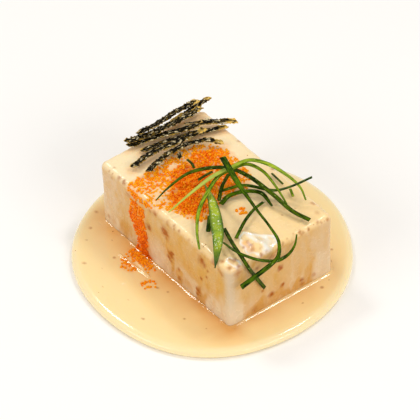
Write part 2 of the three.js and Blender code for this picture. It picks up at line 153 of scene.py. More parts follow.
# Drifts of roe in the pool and the small island on top: centre, half length, half width, grains
POOL_DRIFTS = [
    (-12.5, -24, 6.8, 2.6, 100), (-11.5, -30, 3.4, 2.6, 24), (1, -30.6, 2.8, 3.2, 22),
    (-5.5, -25, 2, 2, 8), (-15, -28, 4, 2, 10),
]
ISLAND = (15.4, 1.8, 2.1, 1.9, 26)

# Meniscus at the block's foot, and the dent in the pool by the roe
MENISCUS = [(0, 0.44), (0.15, 0.32), (0.4, 0.19), (0.85, 0.045), (1.2, 0)]
POOL_RIDGES = [
    ([(-19, -28.4), (-12, -28.2), (-3, -27.5)], 0.45, 0.3),
    ([(-14, -25.9), (-8, -26.4), (-3, -27.4)], 0.45, 0.3),
]

# Strips: the routes of the solids
NORI_THICKNESS = 0.4
NORI_SPREAD = 1.2
NORI_STEP = 0.25
# Orange under the seaweed: partly brown sauce, partly painted warm shade beneath the strips
NORI_STAIN_AND_SHADE = 0.26
NORI = [
    ([(-38.6, -3.8, 35.3), (-39, 6.8, 35.1), (-40, 16, 35), (-40, 24.9, 35)], 2.1),
    ([(-39, -9.1, 34.1), (-37.1, 0.2, 34.1), (-36.2, 10.9, 34.1), (-36.6, 23.7, 34.3)], 2.4),
    ([(-38.5, 8.4, 32.4), (-39.2, 20.2, 32.9), (-39.1, 29.6, 34.4)], 1.9),
    ([
        (-38.1, -8.9, 32.6), (-35.1, 3.5, 32.8), (-31.2, 14.5, 33.4), (-29.7, 20.1, 33.6),
        (-22.8, 29.6, 33.6),
    ], 2.4),
    ([(-32.7, -6.5, 32.3), (-32.2, 1.6, 32.3), (-28.8, 13.1, 32.4), (-23.6, 25.9, 32.4)], 1.9),
    ([(-27.7, -14.8, 32.6), (-28.7, -4.6, 33.6), (-27.1, 5.7, 34.2), (-25.9, 17.1, 34.8)], 2.2),
    ([
        (-21.5, -12.5, 33.5), (-24.4, -1.2, 33.7), (-24, 7.9, 33.8), (-21.3, 14.3, 33.8),
        (-16.7, 18.6, 33.4),
    ], 2),
    ([(-32.5, 13, 34.8), (-29.6, 18.8, 35)], 0.8),
    ([(-22.4, 2.6, 33.2), (-19.6, 0.8, 33.2)], 1.4),
]

# The strip with a long golden end, the shred with a whitish one, and how far apart strips take their noise
GOLDEN_NORI = 2
WHITISH_GREEN = 1
STRIP_SHIFT = 40

GREEN_THICKNESS = 0.45
GREEN_STEP = 0.35
# Width of the first shred along its length, as a share of its given width
FIRST_PROFILE = [1.15, 1.2, 1.0, 0.66, 0.52, 0.5, 0.62, 0.9, 1.0, 1.05]

# Green shreds: shade, width, taper at the start and the end, and route
GREENS = [
    ("dark", 2.1, 1, 1, [
        (-2, 7, 42.6), (11, 3.5, 41.6), (24.5, 1.5, 39), (33.5, 0.7, 37), (40, -0.7, 35.4),
        (41.6, -2.4, 30.5), (41.2, -5.5, 28.2), (41, -12.3, 26.3), (41, -18.7, 24.9),
    ]),
    ("pale", 1.8, 0.3, 0.4, [
        (0.4, -19.7, 32.8), (0.6, -10.6, 36.2), (1.1, 0.1, 39.4), (2.3, 7.5, 40.4), (4.1, 14.3, 41.2),
        (9.9, 18, 41.4), (16.6, 21, 39.4), (22.7, 22.9, 36.2), (26.4, 22.6, 32.6),
    ]),
    ("deep", 1.9, 0.25, 1, [
        (-7.3, -19.5, 33.2), (-7.6, -14.3, 35.4), (-7.6, -4.3, 37.4), (-3.9, 3.9, 38), (0.5, 8.8, 37.7),
        (7.6, 11.5, 37.3), (19.4, 13.2, 35.7), (28.5, 14.6, 33.4), (35.5, 17, 32.5),
    ]),
    ("light", 1.5, 0.5, 0.4, [
        (21.8, -22.3, 31.6), (15.3, -18.3, 33), (8.7, -12.2, 35.2), (4.6, -4.9, 37.3), (1.6, 2.5, 38.6),
        (2.1, 7.7, 39.1), (4, 13.3, 39.8), (9.5, 16.1, 38.8), (18, 15.7, 37.1), (24.1, 15.8, 32.8),
    ]),
    ("dark", 1.6, 1, 1, [
        (4.4, 1.7, 33.9), (8.3, 8.4, 35.3), (16.7, 15.5, 34.6), (21.8, 19.2, 37.8), (26.1, 25.8, 41.6),
    ]),
    ("dark", 2, 1, 0.45, [
        (9, -2.5, 32.9), (7.7, 2.2, 33.3), (9.9, 8.2, 33.6), (13.7, 12, 33.3), (20.9, 11.4, 32.4),
    ]),
    ("deep", 1.3, 1, 1, [(-4, 3.9, 36), (-5, 1.2, 35), (-5.9, -1.4, 33.6)]),
    ("deep", 1.4, 1, 1, [(0.9, 7.4, 36.2), (3.7, 2.2, 35.2), (7.8, -2.5, 33.9)]),
    ("deep", 1.5, 1, 1, [
        (19.7, -9.5, 32.7), (28.8, -12.5, 33.1), (36.3, -14.3, 33), (38.4, -13.6, 30),
        (38.4, -10.1, 22.8), (38.4, -6.2, 15.2),
    ]),
    ("dark", 1.4, 0.6, 0.4, [
        (25.6, -14.5, 33), (34.7, -14.9, 34.8), (39.2, -11.6, 33.2), (39.4, -5.8, 28.8),
        (39.4, -0.4, 26), (39.4, 4.2, 26.3), (39.4, 7, 29), (38.9, 8.4, 33),
    ]),
    ("dark", 1.3, 1, 1, [(17.2, 10.3, 32.3), (19, 4.7, 33.2), (21.7, -1.5, 33.2), (26.3, -9.2, 32.5)]),
    ("dark", 1.7, 1, 1, [(12, -9.8, 33.5), (17.2, -14.8, 32.5)]),
    ("deep", 0.9, 1, 1, [(6.8, 22.5, 32.1), (13.9, 22, 32.1)]),
    ("pale", 1, 1, 1, [(17.9, 22.2, 32.4), (21.5, 20.6, 32.2)]),
    ("deep", 1.1, 1, 1, [(-17.6, 2.6, 33.4), (-14.2, 2.3, 33.7), (-12.2, 1.6, 33.5)]),
]
LEAF = [
    (-1.8, -1.7, 35), (8, -5.7, 35.2), (16.4, -10.5, 35), (23.6, -15.2, 34.6), (28.8, -19.8, 33.2),
    (31.4, -22.8, 29.6),
]
LEAF_STEP = 0.25
LEAF_WIDTH = 4.6
LEAF_THICKNESS = 0.9
LEAF_BUMPS = 0.24


def srgb(red, green, blue):
    """Linear colour from the 0 to 255 values of a picture."""
    def linear(value):
        value /= 255
        return value / 12.92 if value <= 0.04045 else ((value + 0.055) / 1.055) ** 2.4

    return (linear(red), linear(green), linear(blue), 1.0)


# Meshes

def make_object(name, points, faces, material, attributes):
    """A smooth mesh from points in millimetres, with float attributes for its points."""
    mesh = bpy.data.meshes.new(name)
    mesh.from_pydata((np.asarray(points) * MM).tolist(), [], [[int(i) for i in face] for face in faces])
    mesh.update()
    mesh.shade_smooth()
    for key, values in attributes.items():
        layer = mesh.attributes.new(key, "FLOAT", "POINT")
        layer.data.foreach_set("value", np.asarray(values, dtype=np.float32))
    piece = bpy.data.objects.new(name, mesh)
    bpy.context.scene.collection.objects.link(piece)
    mesh.materials.append(material)
    return piece


def loop_faces(loops, count, ring):
    """Quads between consecutive loops of a grid of points; a ring's last loop joins the first."""
    start = np.arange(loops if ring else loops - 1)[:, None] * count
    near = start + np.arange(count)
    near_next = start + (np.arange(count) + 1) % count
    far, far_next = ((side + count) % (loops * count) for side in (near, near_next))
    return np.stack([near, near_next, far_next, far], axis=-1).reshape(-1, 4)


def body_points(loops, poles):
    """Points and faces of a closed body from an array of loops and two end poles, or None for a ring."""
    rows, count, _ = loops.shape
    points = loops.reshape(-1, 3)
    faces = loop_faces(rows, count, poles is None).tolist()
    if poles is not None:
        start, last = len(points), len(points) - count
        points = np.concatenate([points, poles])
        for i in range(count):
            j = (i + 1) % count
            faces += [(start, j, i), (start + 1, last + i, last + j)]
    return points, faces


def turned_out(points, faces):
    """The faces, reversed where they would look inwards."""
    triangles = np.array([(f[0], f[k], f[k + 1]) for f in faces for k in range(1, len(f) - 1)])
    a, b, c = (points[triangles[:, k]] for k in range(3))
    volume = np.einsum("ij,ij->i", a, np.cross(b, c)).sum()
    return faces if volume > 0 else [tuple(reversed(face)) for face in faces]


def finish_piece(piece, slot, *nodes):
    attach(piece, BODY)
    if nodes:
        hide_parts(*nodes)


def add_body(name, loops, poles, material, slot, node, values, ends=None):
    """Adds a closed body that replaces a solid. Values are for its first points, and the rest have 0."""
    points, faces = body_points(loops, poles)
    filled = {key: np.pad(given, (0, len(points) - len(given))) for key, given in values.items()}
    for key, pair in (ends or {}).items():
        filled[key][-2:] = pair
    piece = make_object(name, points, turned_out(points, faces), material, filled)
    finish_piece(piece, slot, node)


# Noise and soft steps


def lattice(corner, seed):
    """A steady random value, -1 to 1, for each whole-numbered corner (x, y, z)."""
    mixed = corner[:, 0] * 73856093 ^ corner[:, 1] * 19349663 ^ corner[:, 2] * 83492791 ^ seed * 40503
    mixed = (mixed ^ (mixed >> 13)) * 1274126177 & 0xFFFFFFFF
    mixed = (mixed ^ (mixed >> 15)) * 668265263 & 0xFFFFFFFF
    return ((mixed ^ (mixed >> 16)) & 0xFFFF) / 32767.5 - 1


def lumps(points, size, seed, octaves=1):
    """Smooth noise, about -1 to 1, at points in millimetres, with lumps of that size."""
    points = np.asarray(points, dtype=float).reshape(-1, 3)
    total = np.zeros(len(points))
    for octave in range(octaves):
        at = points * (2 ** octave / size) + seed * 0.37
        whole = np.floor(at).astype(np.int64)
        share = at - whole
        share = share * share * (3 - 2 * share)
        for step in range(8):
            corner = np.array([step & 1, step >> 1 & 1, step >> 2 & 1])
            weight = np.prod(np.where(corner == 1, share, 1 - share), axis=1)
            total += weight * lattice(whole + corner, seed + octave) / 2 ** octave
    return total


def ripple(x, y, z):
    return noise.noise(Vector((x, y, z)))


def smooth_step(low, high, value):
    share = np.clip((value - low) / (high - low), 0, 1)
    return share * share * (3 - 2 * share)


def reach_in(x, y, spot):
    """Distance from a spot's centre in units of its half sizes. It starts x, y, half x and half y."""
    return np.hypot((x - spot[0]) / spot[2], (y - spot[1]) / spot[3])


# The block's outline

def block_outline(count):
    """Points round the block, anticlockwise from the left front corner, with normals and the run."""
    inset = np.array([BLOCK_LENGTH, BLOCK_WIDTH]) / 2 - CORNER_RADIUS
    corners = inset * [(-1, -1), (1, -1), (1, 1), (-1, 1)]
    straight = 2 * inset[[0, 1, 0, 1]]
    arc = CORNER_RADIUS * math.pi / 2
    starts = np.concatenate([[0], np.cumsum(straight + arc)])
    run_starts = np.concatenate([[0], np.cumsum(straight + 2 * CORNER_RADIUS)])
    rest = np.arange(count) / count * starts[-1]
    side = np.searchsorted(starts, rest, "right") - 1
    rest = rest - starts[side]
    share = np.minimum(rest / straight[side], 1)
    turn = np.clip((rest - straight[side]) / arc, 0, 1)
    angle = (side - 1 + turn) * math.pi / 2
    normals = np.column_stack([np.cos(angle), np.sin(angle)])
    centres = corners[side] + (corners[(side + 1) % 4] - corners[side]) * share[:, None]
    runs = run_starts[side] + CORNER_RADIUS + share * straight[side] + turn * 2 * CORNER_RADIUS
    return centres + normals * CORNER_RADIUS, normals, runs


def block_skin(outline, normals, top_rings, edge_rings, side_levels):
    """Rings on the block from the middle of the top to the given levels, with normals and drops."""
    inner = outline - normals * EDGE_RADIUS
    flat = np.zeros(len(outline))
    up = np.column_stack([flat, flat, flat + 1])
    side = np.column_stack([normals, flat])
    top_drop = flat - EDGE_RADIUS
    skin = [(np.column_stack([inner * share, flat + BLOCK_HEIGHT]), up, top_drop) for share in top_rings]
    for angle in edge_rings:
        out = side * math.cos(angle) + up * math.sin(angle)
        centre = np.column_stack([inner, flat + SIDE_TOP])
        skin.append((centre + out * EDGE_RADIUS, out, flat - EDGE_RADIUS * math.sin(angle)))
    skin += [(np.column_stack([outline, flat + z]), side, flat + SIDE_TOP - z) for z in side_levels]
    rings, facing, drops = (np.array(column) for column in zip(*skin))
    return rings + [*BLOCK_CENTRE[:2], 0], facing, drops


# Where the sauce is

def line_distance(x, y, line):
    """Distance from points to a chain of straight stretches."""
    best = np.full(np.shape(x), np.inf)
    for (ax, ay), (bx, by) in zip(line, line[1:]):
        dx, dy = bx - ax, by - ay
        share = np.clip(((x - ax) * dx + (y - ay) * dy) / (dx * dx + dy * dy), 0, 1)
        best = np.minimum(best, np.hypot(x - ax - share * dx, y - ay - share * dy))
    return best


def depth_within(outline, x, y):
    """Distance to a closed outline, below 0 beyond it."""
    x, y = np.atleast_1d(x), np.atleast_1d(y)
    closed = list(outline) + [outline[0]]
    hit = np.zeros(len(x), dtype=bool)
    for (ax, ay), (bx, by) in zip(closed, closed[1:]):
        if ay != by:
            cut = (bx - ax) * (y - ay) / (by - ay) + ax
            hit ^= ((ay > y) != (by > y)) & (x < cut)
    return np.where(hit, 1, -1) * line_distance(x, y, closed)


def run_drop(run):
    """How far the sauce has run down at places along the outline."""
    drop = np.full(len(run), float(SHORTEST_RUN))
    start = 0
    for side, side_runs in enumerate((FRONT_RUNS, RIGHT_RUNS, BACK_RUNS, LEFT_RUNS)):
        for at, width, depth in side_runs:
            away = np.abs(run - start - at) / (width / 2)
            lobe = SHORTEST_RUN + (depth - SHORTEST_RUN) * np.sqrt(np.clip(1 - away * away, 0, 1))
            drop = np.where(away < 1, np.maximum(drop, lobe), drop)
        start += BLOCK_WIDTH if side % 2 else BLOCK_LENGTH
    return drop


def top_thickness(x, y):
    """Sauce on top: slow swells and a thicker tongue with a soft edge near the front corner."""
    dx, dy = x - TONGUE["x"], y - TONGUE["y"]
    turn = TONGUE["turn"]
    along = (dx * math.cos(turn) + dy * math.sin(turn)) / TONGUE["half_length"]
    across = (dy * math.cos(turn) - dx * math.sin(turn)) / TONGUE["half_width"]
    tongue = TONGUE["height"] * smooth_step(1.15, 0.85, np.sqrt(along * along + across * across))
    swell = SWELL_HEIGHT * np.sin(x * 2 * math.pi / SWELL_LENGTH) * np.cos(y * 2 * math.pi / SWELL_LENGTH)
    return COAT_TOP + tongue + swell


def flake_depths(flat):
    """Distance within the ragged edge of each flake, below 0 beyond it, at points of the plane."""
    ragged = 0.7 * lumps(flat, 2.2, 27)
    return [depth_within(outline, flat[:, 0], flat[:, 1]) + ragged for outline in FLAKES]


def top_relief(x, y):
    """Ridges and wrinkles that stand on the sauce."""
    flat = np.column_stack([x, y, np.zeros(len(x))])
    uneven = 0.7 + 0.5 * lumps(flat, 3.0, 21)
    bend = 0.5 * lumps(flat, 4.0, 23)
    relief = np.zeros(len(x))
    for line, width, height in RIDGES:
        away = line_distance(x + bend, y - bend, line) / width
        relief = np.maximum(relief, height * uneven * np.exp(-(away ** 2)))
    folds = 0.35 - 2.4 * np.abs(lumps(flat * [1, 1.5, 1], 2.6, 25)) - 0.9 * np.abs(lumps(flat, 1.2, 26))
    for depth in flake_depths(flat):
        within = smooth_step(-0.4, 0.6, depth)
        relief += within * (FLAKE_HEIGHT + FLAKE_FOLDS * folds) + FLAKE_EDGE * np.exp(-((depth / 0.6) ** 2))
    return relief


def sauce_surface(x, y):
    """Height of the sauce on top of the block."""
    return BLOCK_HEIGHT + GAP + top_thickness(np.asarray(x, dtype=float), np.asarray(y, dtype=float))


# How far the thick sauce hangs over the top edge, at places round the block
LIP_DROPS = [
    (0, -0.9), (20, -0.8), (44, -0.7), (60, -0.7), (69, -0.6), (74, -0.6), (80, -0.3), (85, -0.1),
    (90, -0.4), (104, -0.5), (118, -0.7), (140, 0.4), (170, 0.0), (195, 0.2), (240, -0.9),
]

def lip_drop(run):
    return np.interp(run, *np.array(LIP_DROPS).T) - 0.7


# Tan sauce on the two long and the two short sides, over a pale ground, with some painted shade: place
# along the side (x or y) and height of its middle, half sizes, and how much it adds to the ground
WASH_GROUND = 0.5
FRONT_WASH = [
    (-34, 16, 6.5, 20, -0.42), (-26, 9, 3, 9, 0.2), (-5.5, 11, 4.5, 10, -0.4), (17, 21, 20, 9, 0.32),
    (12, 11.5, 4.5, 3.2, -0.35), (17, 9, 1.6, 5, -0.3), (21, 7, 3.4, 5.5, 0.6),
    (30, 8, 6.5, 5.5, -0.45), (36, 8, 2.4, 10, -0.5), (1.4, 19, 1.4, 5, 0.6), (3.6, 12.5, 1.7, 5, 0.7),
    (7.4, 7.5, 1.4, 5, 0.7), (-10, 5.5, 3.5, 4, 0.2), (20.5, 16, 2.0, 5, 0.25), (-9.5, 22, 2.2, 6, 0.3),
    (33.5, 22, 4, 6, 0.3), (-22.5, 10, 1.6, 5, 0.35), (-33, 7, 3, 2.5, 0.3),
]
# Two bands on the right side are painted shade: the one just under the top edge, below the hanging lip, and
# the one near the foot
RIGHT_TAN_AND_SHADE = [
    (-19, 8, 5, 11, -0.5), (-17, 23, 2.6, 4, 0.4), (22.5, 16, 6.2, 22, -0.35), (2, 17, 15, 15, 0.12),
    (10, 16, 3.5, 16, -0.1), (15.8, 15, 0.7, 15, 0.25), (0, 29.4, 13, 1.6, 0.7), (1, 5, 16, 3.6, 0.5),
    (-9, 6.5, 4, 3.5, 0.4), (15, 8, 3, 6, 0.25), (-18, 9, 3.5, 5, -0.3), (7.5, 16, 0.7, 13, -0.2),
]
BACK_WASH = [
    (-28, 16, 8, 20, 0.3), (-8, 14, 6, 10, -0.35), (6, 18, 10, 12, 0.3), (24, 12, 8, 14, -0.3),
    (0, 4.5, 40, 3, 0.35),
]
LEFT_WASH = [(-12, 16, 7, 20, 0.25), (2, 12, 5, 12, -0.35), (14, 18, 8, 12, 0.3), (0, 4.5, 30, 3, 0.3)]


def shade_and_tan_of(along, height, patches):
    amount = np.full(len(along), WASH_GROUND)
    for patch in patches:
        amount = amount + patch[4] * smooth_step(1.15, 0.65, reach_in(along, height, patch))
    return amount


def shade_and_tan_on_sides(points, facing):
    """How much tan sauce and painted shade colour a place on the sides, 0 to 1."""
    x, y, z = points.T
    bend = lumps(points, 4, 31, 2)
    sides = ((x, FRONT_WASH), (y, RIGHT_TAN_AND_SHADE), (x, BACK_WASH), (y, LEFT_WASH))
    shades_and_tans = np.array([shade_and_tan_of(at + 1.4 * bend, z + 1.8 * bend, patches) for at, patches in sides])
    weights = np.maximum([-facing[:, 1], facing[:, 0], facing[:, 1], -facing[:, 0]], 0) ** 2 + 1e-6
    mixed = (weights * shades_and_tans).sum(0) / weights.sum(0)
    streaky = lumps(points * [1, 1, 0.35], 1.8, 33, 2)
    return np.clip(mixed + (0.32 - 0.18 * facing[:, 0] ** 2) * streaky, 0, 1)


# Brown bits: place, radius and strength
BLOTCHES = [
    (-10, -21.2, 19.4, 1.9, 0.85), (0, -21.2, 24.3, 2.5, 0.85), (0.6, -21.2, 21.4, 1.3, 0.7),
    (3, -21.2, 15.2, 2.0, 0.9), (2, -21.2, 13, 1.4, 0.8), (7.5, -21.2, 11, 0.9, 0.6),
    (8, -21.2, 7, 1.1, 0.6), (21.8, -21.2, 25, 2.4, 0.85), (4.4, -21.2, 16.4, 0.7, 0.8),
    (3.4, -21.2, 12, 0.7, 0.8), (20.2, -21.2, 10.8, 0.7, 0.7), (20, -21.2, 7, 0.6, 0.7),
    (25, -21.2, 22.6, 0.7, 0.6), (24.2, -21.2, 19.2, 0.7, 0.8), (21, -21.2, 16.2, 0.9, 0.8),
    (19, -21.2, 9, 1.7, 0.85), (18.4, -21.2, 6.8, 1.2, 0.7), (17.5, -21.2, 4.2, 1.0, 0.5),
    (-22, -21.2, 26.5, 1.6, 0.35), (-35, -21.2, 7, 1.0, 0.3), (-28, -20.6, 30, 1.1, 0.6),
    (-25.4, -20.6, 30.4, 0.9, 0.6), (-6, -21, 28.8, 1.2, 0.7), (-8.6, -21, 28, 0.9, 0.6),
    (5, -20.6, 30, 0.7, 0.6), (1.6, -21, 29.4, 1.3, 0.35), (28.5, -20.8, 29.4, 1.3, 0.5),
    (14, -20.8, 29.6, 0.7, 0.5), (37.2, 2, 19.5, 1.5, 0.8), (37.2, -2.5, 9, 1.4, 0.8),
    (37.2, 2.6, 10.6, 1.1, 0.8), (37.2, -6.5, 13, 0.8, 0.6), (37.2, -8.5, 25.2, 0.9, 0.6),
    (37.2, 11.5, 8, 1.0, 0.75), (37.2, 11.7, 6, 1.0, 0.7), (36.8, 11.5, 30.4, 0.8, 0.6),
    (36.8, 15.4, 30, 0.7, 0.6), (37.2, -10, 6.4, 1.5, 0.4), (37.2, 17, 7, 1.2, 0.4),
    (37.2, -1.5, 27.2, 1.6, 0.45), (36.9, -17.5, 28.2, 2.0, 0.5), (33, -20.8, 27.6, 1.6, 0.45),
    (31.6, -7.0, 31.3, 1.3, 0.4), (29.6, -6.6, 31.3, 1.0, 0.35), (33.6, -7.6, 31.3, 1.0, 0.4),
    (30.8, -9.4, 31.3, 0.8, 0.6), (34.8, -5.2, 31.3, 0.8, 0.4), (31.4, -19.4, 31, 1.0, 0.6),
    (35.4, -19.6, 30.6, 1.0, 0.6), (36.8, -16.4, 30.4, 0.9, 0.6), (25.4, -8.2, 31.2, 0.9, 0.5),
    (23.6, -4.6, 31.2, 0.7, 0.4), (36.2, 9, 31, 0.7, 0.6), (36.4, 12, 31, 0.7, 0.6),
    (26, 12, 31, 0.5, 0.5), (30, 16, 31, 0.5, 0.5), (26, 18, 31, 0.5, 0.5), (11, 9, 31, 0.5, 0.5),
    (33.6, -16.4, 31, 1.4, 0.5), (-33, -19, 31, 0.6, 0.5), (-12, 26.2, 14, 1.6, 0.7),
    (-11.4, 26.2, 10.5, 0.8, 0.5), (9, 26.2, 21, 1.2, 0.6), (10.4, 26.2, 18.4, 0.6, 0.6),
    (24, 26.2, 8, 1.0, 0.6), (-31, 26.2, 10, 0.8, 0.5), (-29.5, 26.2, 6.5, 1.3, 0.6),
    (17, 26.2, 25, 0.7, 0.5), (-39.2, -8, 18, 1.1, 0.7), (-39.2, -7.2, 14.2, 1.6, 0.6),
    (-39.2, 6, 9, 0.9, 0.6), (-39.2, 15, 23, 1.3, 0.6), (-39.2, 16.4, 19.4, 0.6, 0.6),
    (33, 22.5, 31, 1.2, 0.3), (36.4, 20, 30.6, 0.9, 0.5), (28, 24.5, 30.8, 1.0, 0.4),
    (24, 14.6, 31.2, 0.8, 0.3), (-16, 25, 30.6, 0.8, 0.6), (4, 25, 30.6, 0.9, 0.6),
]


# More small bits lie along the two near top edges
EDGE_BITS = 34


def edge_bits():
    rng = random.Random(3)
    bits = []
    for k in range(EDGE_BITS):
        radius, strength, height = rng.uniform(0.35, 0.8), rng.uniform(0.35, 0.75), rng.uniform(28.2, 31.2)
        if k % 2:
            bits.append((rng.uniform(-36, 35), -20.9, height, radius, strength))
        else:
            bits.append((36.8, rng.uniform(-19, 24), height, radius, strength))
    return bits


def blotch(points):
    """How brown a place is, 0 to 1."""
    uneven = 0.3 * lumps(points, 1.3, 41, 2)
    amount = np.zeros(len(points))
    for x, y, z, radius, strength in BLOTCHES + edge_bits():
        reach = np.linalg.norm(points - [x, y, z], axis=1) / radius
        core = 0.5 * smooth_step(0.75, 0.3, reach + 2 * uneven)
        amount = np.maximum(amount, strength * (0.75 * smooth_step(1.45, 0.5, reach + uneven) + core))
    return amount


# Materials

TOFU_WHITE = srgb(240, 222, 192)
TOFU_WARM = srgb(246, 232, 208)
SIDE_PALE = srgb(219, 184, 136)
SIDE_TAN = srgb(214, 164, 84)
FOOT_PALE = srgb(234, 212, 178)
FOOT_TAN = srgb(212, 158, 84)
CORNER_PALE = srgb(210, 188, 156)
TOP_PALE = srgb(250, 228, 184)
TOP_WARM = srgb(251, 217, 158)
# Painted sheen: the near-white that wet flakes are tinted towards
TOP_PAINTED_SHEEN = srgb(255, 250, 238)
SPECK_BROWN = srgb(168, 90, 20)
# Orange of roe oil, also used as painted warm shade under the seaweed
ORANGE_STAIN_AND_SHADE = srgb(246, 148, 8)
POOL_CREAM = srgb(253, 226, 166)
# Painted shade and reflection of the block, near its foot
POOL_FOOT_SHADE = srgb(226, 164, 88)
POOL_RIM = srgb(252, 230, 180)
ROE_YELLOW = srgb(252, 170, 16)
ROE_GLINT = srgb(255, 190, 50)
NORI_BLACK = srgb(3, 3, 1)
NORI_DARK = srgb(24, 18, 3)
NORI_BROWN = srgb(118, 92, 28)
NORI_GOLD = srgb(230, 188, 92)
NORI_GLINT = srgb(232, 214, 168)
GREEN_GLINT = srgb(196, 212, 132)
GREEN_WHITISH = srgb(196, 204, 96)
LEAF_GREEN = srgb(112, 152, 0)
LEAF_YELLOW = srgb(196, 210, 20)
LEAF_RIM = srgb(30, 72, 0)
LEAF_GLINT = srgb(252, 255, 228)

# Dark and light colour of each shade of green shreds
GREEN_SHADES = {
    "dark": (srgb(10, 38, 0), srgb(82, 114, 4)),
    "deep": (srgb(12, 34, 0), srgb(74, 98, 4)),
    "light": (srgb(42, 80, 0), srgb(146, 170, 36)),
    "pale": (srgb(84, 116, 4), srgb(164, 184, 52)),
}

# Deeper colours of the roe: where each starts and is full, in depth
ROE_DEPTHS = [(0.0, 0.5, srgb(250, 142, 2)), (0.5, 1.0, srgb(246, 110, 0)), (1.0, 1.4, srgb(218, 88, 0))]

# How far red, green and blue light reaches into a piece
TOFU_GLOW = (1.0, 0.75, 0.5)
SAUCE_GLOW = (1.0, 0.7, 0.35)
GREEN_GLOW = (0.4, 1.0, 0.1)


class Paint:
    """A material, with short ways to add nodes. Sizes are in millimetres."""

    def __init__(self, name):
        self.material = bpy.data.materials.new(name)
        self.material.use_nodes = True
        self.tree = self.material.node_tree
        self.tree.nodes.clear()
        self.shader = self.add("BsdfPrincipled", {})
        self.add("OutputMaterial", {"Surface": self.shader.outputs["BSDF"]})

    def feed(self, node, inputs):
        """Links a node's inputs to other nodes' outputs, or sets them to numbers and colours."""
        for name, value in inputs.items():
            if isinstance(value, bpy.types.NodeSocket):
                self.tree.links.new(value, node.inputs[name])
            else:
                node.inputs[name].default_value = value

    def add(self, kind, inputs):
        node = self.tree.nodes.new("ShaderNode" + kind)
        self.feed(node, inputs)
        return node

    def value(self, name):
        """A value that the mesh holds for its points."""
        node = self.add("Attribute", {})
        node.attribute_name = name
        return node.outputs["Fac"]

    def place(self, stretch=(1, 1, 1)):
        """The point's place in the part's frame."""
        inputs = {"Vector": self.add("TexCoord", {}).outputs["Object"], "Scale": [s / MM for s in stretch]}
        return self.add("Mapping", inputs).outputs["Vector"]

    def strip_place(self, across, along):
        """The point's place across and along its strip, stretched by these amounts."""
        x = self.combine("MULTIPLY", self.value("across"), across)
        y = self.combine("MULTIPLY", self.value("along"), along)
        return self.add("CombineXYZ", {"X": x, "Y": y}).outputs["Vector"]

    def grain(self, size, detail=2.0, roughness=0.5, where=None):
        """Noise from 0 to 1 with lumps of that size."""
        inputs = {"Scale": 1 / size, "Detail": detail, "Roughness": roughness}
        inputs["Vector"] = self.place() if where is None else where
        return self.add("TexNoise", inputs).outputs["Fac"]

    def span(self, value, low, high, to_low=0.0, to_high=1.0):
        """Maps a value from one range to another, held at the ends."""
        inputs = {"Value": value, "From Min": low, "From Max": high, "To Min": to_low, "To Max": to_high}
        return self.add("MapRange", inputs).outputs["Result"]

    def combine(self, operation, first, second):
        node = self.add("Math", {0: first, 1: second})
        node.operation = operation
        return node.outputs["Value"]

    def blend(self, share, first, second):
        node = self.tree.nodes.new("ShaderNodeMix")
        node.data_type = "RGBA"
        self.feed(node, {"Factor": share, "A": first, "B": second})
        return node.outputs["Result"]

    def tinted(self, colour, name, tint):
        """The colour, turned to a tint as far as the mesh's value says."""
        return self.blend(self.value(name), colour, tint)

    def speckled(self, colour, size, share, radius):
        """The colour with brown specks: a share of the cells holds one, with its radius in cells."""
        cells = self.add("TexVoronoi", {"Vector": self.place(), "Scale": 1 / size})
        near = self.span(cells.outputs["Distance"], radius, radius * 0.55)
        chosen = self.add("SeparateColor", {"Color": cells.outputs["Color"]}).outputs["Red"]
        some = self.combine("LESS_THAN", chosen, share)
        return self.blend(self.combine("MULTIPLY", near, some), colour, SPECK_BROWN)

    def bump(self, height, strength, depth):
        node = self.add("Bump", {"Height": height, "Strength": strength, "Distance": depth * MM})
        self.feed(self.shader, {"Normal": node.outputs["Normal"]})

    def glow(self, weight, colour, reach):
        inputs = {"Subsurface Weight": weight, "Subsurface Radius": colour, "Subsurface Scale": reach * MM}
        self.feed(self.shader, inputs)

    def finish(self, colour, roughness, inputs):
        self.feed(self.shader, {"Base Color": colour, "Roughness": roughness, **inputs})
        return self.material


def make_tofu_material():
    paint = Paint("tofu")
    colour = paint.blend(paint.span(paint.grain(1.6, 3.0), 0.35, 0.7), TOFU_WHITE, TOFU_WARM)
    paint.glow(0.5, TOFU_GLOW, 2.0)
    paint.bump(paint.grain(0.9, 3.0), 0.15, 0.2)
    return paint.finish(colour, 0.35, {})


